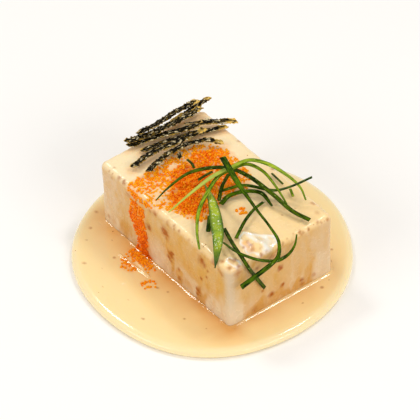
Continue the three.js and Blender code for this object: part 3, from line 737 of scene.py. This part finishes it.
def make_sauce_material():
    """Cream on top, whitened by painted sheen on the wet flakes and warmed by painted shade under the
    seaweed; down the sides a thin film that is pale or tan, with painted shade in two bands on the right
    side, and brown bits.
    """
    paint = Paint("sauce")
    soft = paint.grain(2.6, 3.0, 0.55, paint.place((1, 1, 0.4)))
    # Tan on the sides, with painted shade in two bands on the right side: under the lip and near the foot
    tan_and_shade = paint.combine("MULTIPLY", paint.value("tan_and_shade"), paint.span(soft, 0.3, 0.7, 0.75, 1.25))
    side = paint.tinted(paint.blend(tan_and_shade, SIDE_PALE, SIDE_TAN), "corner", CORNER_PALE)
    side = paint.tinted(side, "low", paint.blend(tan_and_shade, FOOT_PALE, FOOT_TAN))
    patches = paint.span(paint.grain(9.0), 0.3, 0.7, -0.2, 0.2)
    warm = paint.combine("ADD", paint.value("warm"), patches)
    # The cream is whitened towards a painted sheen where the flakes are wet
    cream = paint.tinted(paint.blend(warm, TOP_PALE, TOP_WARM), "wet", TOP_PAINTED_SHEEN)
    colour = paint.tinted(side, "cream", paint.speckled(cream, 2.6, 0.25, 0.12))
    # Orange stain from the roe and the flake, with painted warm shade under the seaweed; then brown bits
    colour = paint.tinted(paint.tinted(colour, "stain", ORANGE_STAIN_AND_SHADE), "blotch", SPECK_BROWN)
    paint.glow(0.15, SAUCE_GLOW, 0.5)
    paint.bump(paint.grain(1.6), 0.07, 0.2)
    return paint.finish(colour, paint.span(paint.grain(2.2), 0.35, 0.65, 0.18, 0.3), {
        "Specular IOR Level": paint.span(paint.grain(3.5), 0.42, 0.58, 0.1, 0.5),
        "Coat Weight": paint.span(paint.value("wet"), 0.0, 1.0, 0.05, 0.8),
        "Coat Roughness": 0.06,
    })


def make_pool_material():
    paint = Paint("pool")
    # Painted shade and reflection of the block: the pool turns tan near the block's foot
    slow = paint.span(paint.grain(14.0), 0.3, 0.7, 0.75, 1.2)
    near = paint.combine("MULTIPLY", paint.value("foot"), slow)
    colour = paint.tinted(paint.blend(near, POOL_CREAM, POOL_FOOT_SHADE), "rim", POOL_RIM)
    colour = paint.speckled(paint.tinted(colour, "stain", ORANGE_STAIN_AND_SHADE), 4.5, 0.3, 0.07)
    paint.glow(0.2, SAUCE_GLOW, 1.0)
    gloss = {"Specular IOR Level": 0.4, "Coat Weight": 0.4, "Coat Roughness": 0.04}
    return paint.finish(paint.tinted(colour, "blotch", SPECK_BROWN), 0.14, gloss)


def make_roe_material():
    paint = Paint("roe")
    depth = paint.value("depth")
    colour = ROE_YELLOW
    for low, high, deeper in ROE_DEPTHS:
        colour = paint.blend(paint.span(depth, low, high), colour, deeper)
    colour = paint.blend(paint.span(paint.grain(0.35, 1.0), 0.55, 0.8, 0.0, 0.3), colour, ROE_GLINT)
    return paint.finish(colour, 0.25, {"Specular IOR Level": 0.2, "Specular Tint": (1.0, 0.75, 0.4, 1.0)})


def make_nori_material():
    paint = Paint("seaweed")
    streaks = paint.strip_place(1.3, 0.34)
    fine = paint.grain(0.8, 3.0, 0.6, streaks)
    edge = paint.value("edge")
    colour = paint.blend(paint.span(paint.grain(2.0, 3.0, 0.6), 0.35, 0.7), NORI_BLACK, NORI_DARK)
    thin = paint.combine("ADD", fine, paint.combine("MULTIPLY", edge, 0.16))
    brown = paint.blend(paint.span(edge, 0.3, 1.0), NORI_BROWN, NORI_GOLD)
    colour = paint.blend(paint.span(thin, 0.565, 0.66), colour, brown)
    glints = paint.grain(0.7, 3.0, 0.65, streaks)
    colour = paint.blend(paint.span(glints, 0.56, 0.66), colour, NORI_GLINT)
    paint.bump(fine, 0.5, 0.3)
    return paint.finish(colour, 0.25, {"Specular IOR Level": 0.06, "Specular Tint": (1.0, 0.9, 0.65, 1.0)})


def make_green_material(name, dark, light):
    """Green shreds: streaks that run lengthwise, darker edges and a light middle here and there."""
    paint = Paint(name)
    where = paint.strip_place(1.5, 0.3)
    streaks = paint.grain(1.0, where=where)
    across = paint.value("across")
    middle = paint.combine("SUBTRACT", 1.0, paint.combine("MULTIPLY", across, across))
    mixed = paint.combine("ADD", streaks, paint.grain(5.0))
    shown = paint.combine("MULTIPLY", mixed, paint.span(middle, 0.0, 0.7, 0.7, 1.0))
    colour = paint.blend(paint.span(shown, 0.78, 1.16), dark, light)
    glints = paint.span(paint.grain(0.5, where=where), 0.66, 0.72, 0.0, 0.7)
    colour = paint.tinted(paint.blend(glints, colour, GREEN_GLINT), "pale", GREEN_WHITISH)
    paint.glow(0.05, GREEN_GLOW, 0.4)
    paint.bump(streaks, 0.3, 0.15)
    return paint.finish(colour, 0.3, {"Specular IOR Level": 0.12, "Specular Tint": (0.8, 0.9, 0.35, 1.0)})


def make_leaf_material():
    paint = Paint("leaf")
    rim = paint.value("rim")
    colour = paint.blend(paint.span(paint.grain(4.0), 0.3, 0.7), LEAF_GREEN, LEAF_YELLOW)
    glints = paint.span(paint.grain(1.1, 3.0, 0.6), 0.58, 0.66)
    shown = paint.combine("MULTIPLY", glints, paint.span(rim, 0.0, 0.45, 0.85, 0.0))
    colour = paint.blend(shown, paint.blend(rim, colour, LEAF_RIM), LEAF_GLINT)
    paint.glow(0.1, GREEN_GLOW, 0.6)
    paint.bump(paint.grain(0.7, 3.0, 0.6), 1.0, 0.7)
    return paint.finish(colour, 0.22, {
        "Specular IOR Level": 0.2,
        "Coat Weight": paint.span(rim, 0.0, 1.0, 0.9, 0.1),
        "Coat Roughness": 0.06,
    })


# Tofu, sauce and pool

def make_tofu():
    outline, normals, _ = block_outline(TOFU_AROUND)
    levels = np.linspace(SIDE_TOP, 0.5, 60)
    turns = np.radians([75, 60, 45, 30, 15])
    rings, facing, drops = block_skin(outline, normals, np.linspace(0.1, 1, 8), turns, levels)
    wobble = 0.15 * lumps(rings, 7, 3).reshape(drops.shape)
    out = GAP * 0.6 + np.where(drops < SIDE_TOP - 4, wobble, 0)
    rings = rings + facing * out[..., None]
    foot = rings[-1] * [1, 1, 0] - facing[-1] * 0.6
    middle = BLOCK_CENTRE[:2]
    poles = np.array([[*middle, rings[0, :, 2].mean()], [*middle, 0]])
    loops = np.concatenate([rings, foot[None]])
    add_body("tofu", loops, poles, make_tofu_material(), "tofu", "tofu_block", {})


def roe_density(x, y):
    """How thickly the roe lies at places on top, 0 to 1."""
    return np.max([mass[4] * smooth_step(1.25, 0.55, reach_in(x, y, mass)) for mass in ROE_MASSES], axis=0)


def roe_cover(x, y):
    """1 within the roe's outline on top, 0 beyond it."""
    return smooth_step(-0.6, 0.8, depth_within(ROE_OUTLINE, x, y))


def sauce_stain_and_shade(x, y, on_top, outer, crumple):
    """How orange the sauce is: by the roe on top and down the side, in a flake, and under the seaweed,
    where it is partly brown sauce and partly painted warm shade.
    """
    stain = (0.27 + 0.73 * roe_density(x, y)) * roe_cover(x, y) * on_top + stream_stain(outer)
    tint = FLAKE_TINT[4] * smooth_step(1.3, 0.4, reach_in(x, y, FLAKE_TINT) + 0.3 * crumple)
    stain = np.maximum(stain, tint * on_top)
    # Partly brown sauce and partly painted warm shade beneath the seaweed strips
    for route, _ in NORI:
        beneath = smooth_step(4.0, 1.0, line_distance(x, y, [point[:2] for point in route]))
        stain = np.maximum(stain, NORI_STAIN_AND_SHADE * beneath * on_top)
    return np.clip(stain, 0, 1)


def wetness_and_painted_sheen(points):
    """How wet the flakes look, which sets both their gloss and their painted sheen: along their edges and
    in patches, more at the back.
    """
    flat = points * [1, 1, 0]
    patches = 0.2 + 0.06 * (points[:, 1] + 6) + 0.95 * lumps(flat * [0.6, 1.3, 1], 1.6, 28)
    wet = np.zeros(len(points))
    for depth in flake_depths(flat):
        wetter = np.maximum(patches, smooth_step(1.1, 0.3, np.abs(depth)))
        wet = np.maximum(wet, smooth_step(-0.6, 0.4, depth) * wetter)
    return np.clip(wet, 0, 1)

def make_sauce():
    outline, normals, runs = block_outline(SAUCE_AROUND)
    levels = np.linspace(SIDE_TOP, POOL_LEVEL - 0.8, 64)
    turns = np.radians([80, 68, 56, 44, 32, 20, 10])
    rings, facing, drops = block_skin(outline, normals, np.linspace(0.03, 1, 66) ** 0.75, turns, levels)
    base, out, drop = rings.reshape(-1, 3), facing.reshape(-1, 3), drops.ravel()
    run = np.tile(runs, len(rings))
    x, y = base[:, 0], base[:, 1]
    crumple = lumps(base, 5, 7, 2)
    hang = smooth_step(0.6, -0.3, drop - lip_drop(run) - 0.6 * crumple)
    lobes = smooth_step(1.5, -1.5, drop - run_drop(run) - 1.2 * crumple)
    side = COAT_SIDE - 0.1 + RUN_RELIEF * lobes + 0.1 * crumple
    side = side * (1 - hang) + (LIP + 0.12 * crumple) * hang
    over = smooth_step(-EDGE_RADIUS, 0, drop)
    top = top_thickness(x, y) + (0.04 + 0.08 * smooth_step(-1.3, -0.6, drop)) * lumps(base, 2.2, 9, 2)
    brown = blotch(base + out * FACE_OUT)
    reach = base + out * 0.8
    thick = top * (1 - over) + side * over
    thick += top_relief(reach[:, 0], reach[:, 1]) * smooth_step(1.6, -0.4, drop)
    thick += 0.12 * brown + 0.13 * lumps(base, 1.8, 13, 2) * np.exp(-((drop + 0.4) ** 2))
    outer = base + out * (GAP + thick)[:, None]
    inner = (base - out * COAT_SINK).reshape(rings.shape)[::-1]
    loops = np.concatenate([outer.reshape(rings.shape), inner[:-1]])
    middle = BLOCK_CENTRE[:2]
    poles = np.array([[*middle, loops[0, :, 2].mean()], [*middle, BLOCK_HEIGHT - COAT_SINK]])
    from_corner = np.hypot(x - BLOCK_HIGH[0], y - BLOCK_LOW[1])
    values = {
        "cream": np.maximum(hang, 1 - over),
        "warm": smooth_step(-30, 32, x + 4 * crumple),
        # Tan sauce on the sides, with painted shade under the lip and near the foot on the right side
        "tan_and_shade": shade_and_tan_on_sides(outer, out),
        "corner": 0.9 * np.exp(-((from_corner / 1.7) ** 2)),
        "low": smooth_step(20, 4, outer[:, 2]),
        "blotch": brown,
        # Sets the flakes' gloss and their painted sheen
        "wet": wetness_and_painted_sheen(outer) * (1 - over),
        # Roe oil and flake stain, with painted warm shade under the seaweed
        "stain": sauce_stain_and_shade(x, y, smooth_step(0.5, -0.5, drop), outer, crumple),
    }
    add_body("sauce", loops, poles, make_sauce_material(), "sauce", "sauce_coat", values)


def pool_radius(angle):
    return POOL_RADIUS + sum(height * np.cos(count * angle + shift) for count, height, shift in POOL_WAVES)


def pool_relief(x, y):
    """A dent with two raised lips where the roe ran into the pool, and slow waves."""
    flat = np.column_stack([x, y, np.zeros(len(x))])
    relief = 0.05 * lumps(flat, 12, 5)
    for line, width, height in POOL_RIDGES:
        relief += height * np.exp(-((line_distance(x, y, line) / width) ** 2))
    return relief


def level_ring(plane, z):
    return np.column_stack([plane, np.full(len(plane), z)])


def make_pool():
    outline, normals, _ = block_outline(SAUCE_AROUND)
    at = outline + BLOCK_CENTRE[:2]
    angle = np.arctan2(at[:, 1], at[:, 0])
    ray = np.column_stack([np.cos(angle), np.sin(angle)])
    reach = pool_radius(angle)
    widest = ray * reach[:, None]
    shift = (POOL_LOW[:2] + POOL_HIGH[:2]) / 2 - (widest.min(0) + widest.max(0)) / 2
    inner = FACE_OUT - 0.06
    loops = [level_ring(at + normals * inner, 0)]
    insets, heights = np.array(POOL_EDGE).T
    corners = np.arange(len(POOL_EDGE))
    for step in np.linspace(0, corners[-1], 16):
        rim = ray * (reach - np.interp(step, corners, insets))[:, None] + shift
        loops.append(level_ring(rim, np.interp(step, corners, heights)))
    edge = loops[-1]
    foot = level_ring(at + normals * inner, POOL_LEVEL)
    out = level_ring(normals, 0)
    room = np.linalg.norm(edge[:, :2], axis=1) - np.linalg.norm(foot[:, :2], axis=1)
    band = np.clip(0.7 * room, 0.6, 3)[:, None]
    for share in np.linspace(0, 1, 90)[1:]:
        loops.append(edge * (1 - share) + (foot + out * band) * share)
    wander = lumps(foot, 2.6, 15, 2)
    faint = 0.55 * smooth_step(14, 20, at[:, 0]) + 0.5 * smooth_step(-19, -26, at[:, 0])
    climb = 1 + 0.35 * np.abs(normals[:, 0]) - faint * np.maximum(-normals[:, 1], 0) + 0.3 * wander
    for share in np.linspace(0.97, 0.0, 30):
        away = (band * share)[:, 0]
        rise = climb * np.interp(away, *np.array(MENISCUS).T)
        loops.append(foot + out * away[:, None] + np.outer(rise, [0, 0, 1]))
    loops = np.array(loops)
    points = loops.reshape(-1, 3)
    x, y, z = points.T
    beyond = np.abs(points[:, :2] - BLOCK_CENTRE[:2]) - np.array([BLOCK_LENGTH, BLOCK_WIDTH]) / 2 - inner
    away = np.linalg.norm(np.maximum(beyond, 0), axis=1)
    from_rim = np.tile(reach, len(loops)) - np.linalg.norm(points[:, :2] - shift, axis=1)
    level = smooth_step(POOL_LEVEL - 0.2, POOL_LEVEL, z) * smooth_step(0.6, 1.6, away)
    points[:, 2] += pool_relief(x, y) * level
    drifts = sum(0.5 * smooth_step(1.3, 0.4, reach_in(x, y, drift)) for drift in POOL_DRIFTS[:2])
    beside = np.clip((y - BLOCK_LOW[1]) / 4, 0, 1)
    values = {
        # Painted shade and reflection of the block, strongest at its foot
        "foot": np.exp(-((away / 8) ** 1.2)) * (1 - 0.4 * beside),
        "rim": smooth_step(4, 0, from_rim),
        "stain": np.clip(drifts, 0, 1),
        "blotch": pool_blotch(points),
    }
    add_body("pool", loops, None, make_pool_material(), "sauce", "sauce_pool", values)


# Small brown bits in the pool: place and radius
POOL_BITS = [
    (-19, -31, 0.7), (4, -28.6, 0.6), (8, -27, 0.5), (-37.5, -28.2, 0.8), (-43, -21, 0.7),
    (-23.5, -41, 0.7), (13.5, -42.5, 0.6), (-17, -38, 0.3), (23, -31, 0.5), (-9, -43.6, 0.3),
    (2, -40.6, 0.3), (41.5, 17.5, 0.8), (43.5, 7, 0.4), (40, 22, 0.3), (-46, 4, 0.6), (-45, 16, 0.4),
    (-30, 33, 0.6), (-8, 36, 0.5), (12, 34, 0.4), (28, 33, 0.6), (-33, -33, 0.3), (-27, -26, 0.3),
    (32, -28, 0.3),
]


def pool_blotch(points):
    amount = np.zeros(len(points))
    for x, y, radius in POOL_BITS:
        reach = np.hypot(points[:, 0] - x, points[:, 1] - y) / radius
        amount = np.maximum(amount, 0.6 * smooth_step(1.3, 0.4, reach))
    return amount


def grain_shape():
    """Points and faces of a small ball."""
    mesh = bpy.data.meshes.new("ball")
    work = bmesh.new()
    bmesh.ops.create_icosphere(work, subdivisions=2, radius=1)
    work.to_mesh(mesh)
    work.free()
    points = np.array([v.co for v in mesh.vertices])
    faces = np.array([p.vertices for p in mesh.polygons])
    bpy.data.meshes.remove(mesh)
    return points, faces


def make_grains(name, places, material, slot, nodes=()):
    """One joined mesh of balls. Each place is (x, y, z, radius, depth of colour)."""
    ball, triangles = grain_shape()
    points, faces, depth = [], [], []
    for i, (x, y, z, radius, deep) in enumerate(places):
        points.append(ball * radius + [x, y, z])
        faces.append(triangles + i * len(ball))
        depth.append(np.full(len(ball), deep))
    points, faces, depth = (np.concatenate(parts) for parts in (points, faces, depth))
    piece = make_object(name, points, faces, material, {"depth": depth})
    finish_piece(piece, slot, *nodes)


def top_roe(rng):
    """Grains over the heap's outline: two deep where it is dense, with gaps near the edge."""
    places = []
    step = GRAIN_PITCH * 0.87
    for row in range(int(42 / step)):
        for column in range(int(42 / GRAIN_PITCH)):
            x = -28 + (column + 0.5 * (row % 2)) * GRAIN_PITCH + rng.uniform(-0.2, 0.2)
            y = -21 + row * step + rng.uniform(-0.2, 0.2)
            chance = rng.random()
            depth = float(depth_within(ROE_OUTLINE, x, y)[0])
            if depth < 0:
                continue
            dense = float(roe_density(np.array([x]), np.array([y]))[0])
            patch = ripple(x / 3, y / 3, 4.7) + 0.6 * ripple(x / 1.3, y / 1.3, 2.1)
            cover = 0.38 + 0.2 * min(1, depth / 2) + 0.55 * dense + 1.0 * patch
            if chance > cover:
                continue
            z = float(sauce_surface(x, y)) + 0.02 + rng.uniform(-0.1, 0.1)
            deep = min(1.1, max(0, 0.06 + 0.72 * dense + 0.56 * rng.uniform(-1, 1)))
            radius = GRAIN_RADIUS * rng.uniform(0.88, 1.1)
            places.append((x, y, z, radius, deep))
            if chance < 0.62 * dense - 0.1:
                above_x, above_y = x + rng.uniform(-0.3, 0.3), y + rng.uniform(-0.3, 0.3)
                places.append((above_x, above_y, z + 0.5, radius, deep))
    return places


def stream_edges(z):
    """Left and right edge of the roe on the front side at a height."""
    levels, left, right = np.array(STREAM_LEVELS[::-1]).T
    return np.interp(z, levels, left), np.interp(z, levels, right)


def stream_stain(points):
    """How much the roe's oil colours the front side round it."""
    x, y, z = points.T
    left, right = stream_edges(z)
    within = np.minimum(x - left, right - x) + 1.2 * lumps(points, 2.4, 51, 2)
    return 0.7 * smooth_step(-0.8, 1.2, within) * (y < FRONT_FACE + 1.6) * smooth_step(27.5, 25.5, z)


def stream_roe(rng):
    """Grains on the front side, over the top edge and down to the pool."""
    places = []
    z = STREAM_LEVELS[-1][0]
    while z < STREAM_LEVELS[0][0]:
        x, end = stream_edges(z)
        while x < end:
            gx = x + rng.uniform(-0.22, 0.22)
            gz = z + rng.uniform(-0.22, 0.22)
            patch = ripple(gx / 2.4, gz / 2.4, 8.3)
            within = min(1, (min(x - stream_edges(z)[0], end - x) + 0.4) / 1.8)
            parting = math.exp(-(((gx + 16.2) / 0.9) ** 2)) * (0.7 if 18 < gz < 27 else 0)
            lip_gap = 0.75 if 26.2 < gz < 28.6 else 0
            if rng.random() < 0.55 + 0.4 * within + 0.7 * patch - parting - lip_gap:
                back = max(0, gz - (SIDE_TOP + 0.6))
                y = FRONT_FACE - 0.12 + back * back * 0.3 + rng.uniform(-0.08, 0.08)
                deep = 0.35 + (26 - gz) * 0.03 + 0.5 * patch + 0.5 * rng.random()
                places.append((gx, y, gz, GRAIN_RADIUS * rng.uniform(0.88, 1.08), deep))
            x += GRAIN_PITCH * rng.uniform(0.86, 1.06)
        z += GRAIN_PITCH * 0.82
    return places


def scattered(rng, centre_x, centre_y, half_length, half_width, count, height):
    places = []
    for _ in range(count):
        angle = rng.uniform(0, 2 * math.pi)
        reach = math.sqrt(rng.random())
        x = centre_x + half_length * reach * math.cos(angle)
        y = centre_y + half_width * reach * math.sin(angle)
        places.append((x, y, height(x, y), GRAIN_RADIUS * rng.uniform(0.85, 1.05), rng.uniform(0.15, 0.7)))
    return places


def make_roe():
    rng = random.Random(5)
    material = make_roe_material()
    make_grains("roe", top_roe(rng), material, "roe", ["roe_heap"])
    loose = stream_roe(rng)
    for drift in POOL_DRIFTS:
        loose += scattered(rng, *drift, lambda x, y: POOL_LEVEL + 0.1)
    loose += scattered(rng, *ISLAND, lambda x, y: float(sauce_surface(x, y)) + 0.15)
    make_grains("loose_roe", loose, material, "roe")


# Strips

def smooth_route(points, step):
    """Points and directions at even steps along a smooth curve through the given points."""
    given = [Vector(p) for p in points]
    chain = [given[0] * 2 - given[1]] + given + [given[-1] * 2 - given[-2]]
    dense = []
    for k in range(1, len(chain) - 2):
        p0, p1, p2, p3 = chain[k - 1:k + 3]
        gaps = [max(1e-4, (b - a).length ** 0.5) for a, b in ((p0, p1), (p1, p2), (p2, p3))]
        t1 = ((p1 - p0) / gaps[0] - (p2 - p0) / (gaps[0] + gaps[1]) + (p2 - p1) / gaps[1]) * gaps[1]
        t2 = ((p2 - p1) / gaps[1] - (p3 - p1) / (gaps[1] + gaps[2]) + (p3 - p2) / gaps[2]) * gaps[1]
        for i in range(40):
            t = i / 40
            dense.append(
                p1 * (2 * t ** 3 - 3 * t ** 2 + 1) + t1 * (t ** 3 - 2 * t ** 2 + t)
                + p2 * (-2 * t ** 3 + 3 * t ** 2) + t2 * (t ** 3 - t ** 2)
            )
    dense.append(given[-1])
    dense = np.array(dense)
    lengths = np.concatenate([[0], np.cumsum(np.linalg.norm(np.diff(dense, axis=0), axis=1))])
    steps = max(6, round(lengths[-1] / step))
    at = np.linspace(0, lengths[-1], steps + 1)
    middle = np.column_stack([np.interp(at, lengths, dense[:, k]) for k in range(3)])
    along = np.gradient(middle, axis=0)
    along /= np.linalg.norm(along, axis=1)[:, None]
    return middle, along


def strip_axes(along):
    """Width and face directions along a route: the width starts level and stays square to the route."""
    across = np.cross(along[0], (0, 0, 1))
    sides, faces = [], []
    for direction in along:
        across = across - direction * np.dot(across, direction)
        across = across / np.linalg.norm(across)
        sides.append(across)
        faces.append(np.cross(across, direction))
    return np.array(sides), np.array(faces)


def taper(share, start, end):
    taper_share = 0.3
    from_start = np.minimum(1, start + (1 - start) * share / taper_share)
    from_end = np.minimum(1, end + (1 - end) * (1 - share) / taper_share)
    return np.minimum(from_start, from_end)


def nori_section():
    """Corners round a flat strip, as shares of half its width and half its thickness."""
    top = [(u, 1 if abs(u) < 1 else 0.4) for u in np.linspace(-1, 1, 10)]
    return top + [(u, -v) for u, v in reversed(top)]


def flat_section(count):
    """Corners round a flat strip with rounded edges."""
    across = np.sin(np.linspace(-math.pi / 2, math.pi / 2, count))
    top = [(u, (1 - abs(u) ** 3) * (0.9 + 0.1 * abs(u))) for u in across]
    return top + [(u, -v) for u, v in reversed(top[1:-1])]


NORI_SECTION = nori_section()
GREEN_SECTION = flat_section(7)
LEAF_SECTION = flat_section(15)


def add_strip(name, loops, material, slot, node, values, ends):
    """Adds a strip, closed at each end by the middle of its last loop."""
    add_body(name, loops, loops[[0, -1]].mean(1), material, slot, node, values, ends)


def make_nori():
    material = make_nori_material()
    edge = np.abs([u for u, _ in NORI_SECTION]) ** 4
    for index, (route, width) in enumerate(NORI):
        middle, along = smooth_route(route, NORI_STEP)
        sides, faces = strip_axes(along)
        half = width * NORI_SPREAD / 2
        points = []
        for k, centre in enumerate(middle):
            curl = 0.5 * ripple(k * 0.05, index * 3.1, 0)
            end = min(1, (min(k, len(middle) - 1 - k) + 1) / 4)
            for u, v in NORI_SECTION:
                ragged = 1 + 0.5 * ripple(k * 0.4, index * 5.3, 7 if u > 0 else 1) * abs(u) ** 3
                crinkle = 0.26 * ripple(k * 0.3, u * 2.6 + index * 9, 3)
                crinkle += 0.2 * ripple(k * 0.11, u * 1.2 + index * 4, 6)
                point = centre + along[k] * (0.5 * u * (1 - end) * half)
                point = point + sides[k] * (u * half * ragged * (0.6 + 0.4 * end))
                points.append(point + faces[k] * (v * NORI_THICKNESS / 2 + crinkle + curl * u * u))
        loops = np.array(points).reshape(len(middle), -1, 3)
        share = np.linspace(0, 1, len(middle))
        tips = smooth_step(0.84, 1.0, share) + 0.5 * smooth_step(0.06, 0.0, share)
        if index == GOLDEN_NORI:
            tips = tips + 1.3 * smooth_step(0.6, 0.35, share)
        values = {
            "edge": np.clip(tips[:, None] + 0.7 * edge, 0, 1.3).ravel(),
            "across": np.tile([u + 3 * (v < 0) for u, v in NORI_SECTION], len(loops)),
            "along": np.repeat(np.arange(len(loops)) * NORI_STEP + index * STRIP_SHIFT, len(NORI_SECTION)),
        }
        node = f"nori_strip_{index + 1}"
        add_strip(f"nori_{index + 1}", loops, material, "seaweed", node, values, {"edge": (0, 1)})


def strip_body(route, step, thickness, width_at, cup, section):
    """Loops of a strip with a rounded flat section that is slightly hollow above, and the shares."""
    middle, along = smooth_route(route, step)
    sides, faces = strip_axes(along)
    share = np.linspace(0, 1, len(middle))
    widths = width_at(share)
    loops = []
    for k, centre in enumerate(middle):
        thin = thickness / 2 * min(1, widths[k] / (2.2 * thickness))
        loops.append([
            centre + sides[k] * (u * widths[k] / 2) + faces[k] * (v * thin + cup * u * u * widths[k] / 2)
            for u, v in section
        ])
    return np.array(loops), share


def green_width(index, share):
    """Width of a green shred at shares of its length; the first narrows in its middle."""
    _, width, start, end, _ = GREENS[index]
    if index == 0:
        return width * np.interp(share, np.linspace(0, 1, len(FIRST_PROFILE)), FIRST_PROFILE)
    return width * taper(share, start, end)


def make_greens():
    shades = {
        shade: make_green_material("green_" + shade, *colours) for shade, colours in GREEN_SHADES.items()
    }
    for index, green in enumerate(GREENS):
        def width_at(share):
            return green_width(index, share)

        loops, share = strip_body(green[-1], GREEN_STEP, GREEN_THICKNESS, width_at, 0.12, GREEN_SECTION)
        whitish = smooth_step(0.5, 0.36, share) * (0.6 if index == WHITISH_GREEN else 0)
        shift = index * STRIP_SHIFT
        values = {
            "across": np.tile([u for u, _ in GREEN_SECTION], len(loops)),
            "along": np.repeat(np.arange(len(loops)) * GREEN_STEP + shift, len(GREEN_SECTION)),
            "pale": np.repeat(whitish, len(GREEN_SECTION)),
        }
        node = f"green_strip_{index + 1}"
        add_strip(f"green_{index + 1}", loops, shades[green[0]], "green", node, values, {"along": shift})


def leaf_width(share):
    return np.maximum(0.5, LEAF_WIDTH * np.sin(math.pi * share ** 1.15) ** 0.8)


def make_leaf():
    loops, share = strip_body(LEAF, LEAF_STEP, LEAF_THICKNESS, leaf_width, 0.1, LEAF_SECTION)
    across = np.tile([u for u, _ in LEAF_SECTION], len(loops))
    share = np.repeat(share, len(LEAF_SECTION))
    wet = lumps(np.column_stack([share * 25, across * 3.4, np.zeros(len(share))]), 1.0, 12, 2)
    lift = 0.12 * np.sin(share * 4 * math.pi) + LEAF_BUMPS * wet * (1 - across ** 4)
    loops[..., 2] += lift.reshape(loops.shape[:2])
    rim = np.maximum(smooth_step(0.7, 1.0, share), 0.85 * smooth_step(0.4, 1.0, np.abs(across)))
    add_strip("leaf", loops, make_leaf_material(), "green", "green_leaf", {"rim": rim}, {"rim": (0.8, 1)})


# Floor, light and camera

FLOOR_SIZE = 6000
FLOOR_DROP = 0.02


def make_floor():
    half = FLOOR_SIZE / 2
    points = [(-half, -half, 0), (half, -half, 0), (half, half, 0), (-half, half, 0)]
    material = Paint("floor").finish(srgb(250, 249, 247), 0.7, {})
    floor = make_object("floor", points, [(0, 1, 2, 3)], material, {})
    floor.location.z = -FLOOR_DROP * MM


LIGHT_TARGET = Vector((0, 0, 0.015))
LIGHT_WHITE = (1.0, 0.98, 0.95)
FILL_WHITE = (1.0, 0.97, 0.93)


def make_light(name, location, size, power, colour):
    light = bpy.data.lights.new(name, "AREA")
    light.shape = "RECTANGLE"
    light.size, light.size_y = size
    light.energy = power
    light.color = colour
    lamp = bpy.data.objects.new(name, light)
    bpy.context.scene.collection.objects.link(lamp)
    lamp.location = location
    direction = LIGHT_TARGET - lamp.location
    lamp.rotation_euler = direction.to_track_quat("-Z", "Y").to_euler()


def make_lights():
    world = bpy.data.worlds.new("studio")
    world.use_nodes = True
    background = world.node_tree.nodes["Background"]
    background.inputs["Color"].default_value = (1.0, 0.985, 0.965, 1)
    background.inputs["Strength"].default_value = 0.52
    bpy.context.scene.world = world
    make_light("key_left", (-0.45, -0.05, 0.64), (0.15, 0.11), 1.05, LIGHT_WHITE)
    make_light("key_back", (0.085, 0.315, 0.64), (0.14, 0.12), 0.95, LIGHT_WHITE)
    make_light("left_fill", (-0.05, -0.68, 0.42), (0.5, 0.3), 1.75, FILL_WHITE)
    make_light("right_fill", (0.68, 0.08, 0.42), (0.5, 0.3), 1.95, FILL_WHITE)


def make_camera():
    azimuth, elevation, roll = (math.radians(v) for v in (CAMERA_AZIMUTH, CAMERA_ELEVATION, CAMERA_ROLL))
    level = math.cos(elevation)
    back = Vector((math.sin(azimuth) * level, -math.cos(azimuth) * level, math.sin(elevation)))
    right = Vector((math.cos(azimuth), math.sin(azimuth), 0))
    up = back.cross(right)
    across = right * math.cos(roll) + up * math.sin(roll)
    upright = up * math.cos(roll) - right * math.sin(roll)
    data = bpy.data.cameras.new("camera")
    data.sensor_width = SENSOR_WIDTH
    data.lens = PIXELS_PER_MM * CAMERA_DISTANCE / PICTURE_WIDTH * SENSOR_WIDTH
    data.clip_start = 0.05
    data.clip_end = 20
    camera = bpy.data.objects.new("camera", data)
    bpy.context.scene.collection.objects.link(camera)
    middle = PICTURE_WIDTH / 2
    sideways = -(ORIGIN_PIXEL[0] - middle) / PIXELS_PER_MM
    upward = (ORIGIN_PIXEL[1] - middle) / PIXELS_PER_MM
    place_at = (back * CAMERA_DISTANCE + across * sideways + upright * upward) * MM
    turned = Matrix((across, upright, back)).transposed().to_4x4()
    camera.matrix_world = Matrix.Translation(place_at) @ turned
    bpy.context.scene.camera = camera


make_camera()
make_tofu()
make_sauce()
make_pool()
make_roe()
make_nori()
make_greens()
make_leaf()
make_floor()
make_lights()
bpy.context.scene.view_settings.view_transform = "Standard"
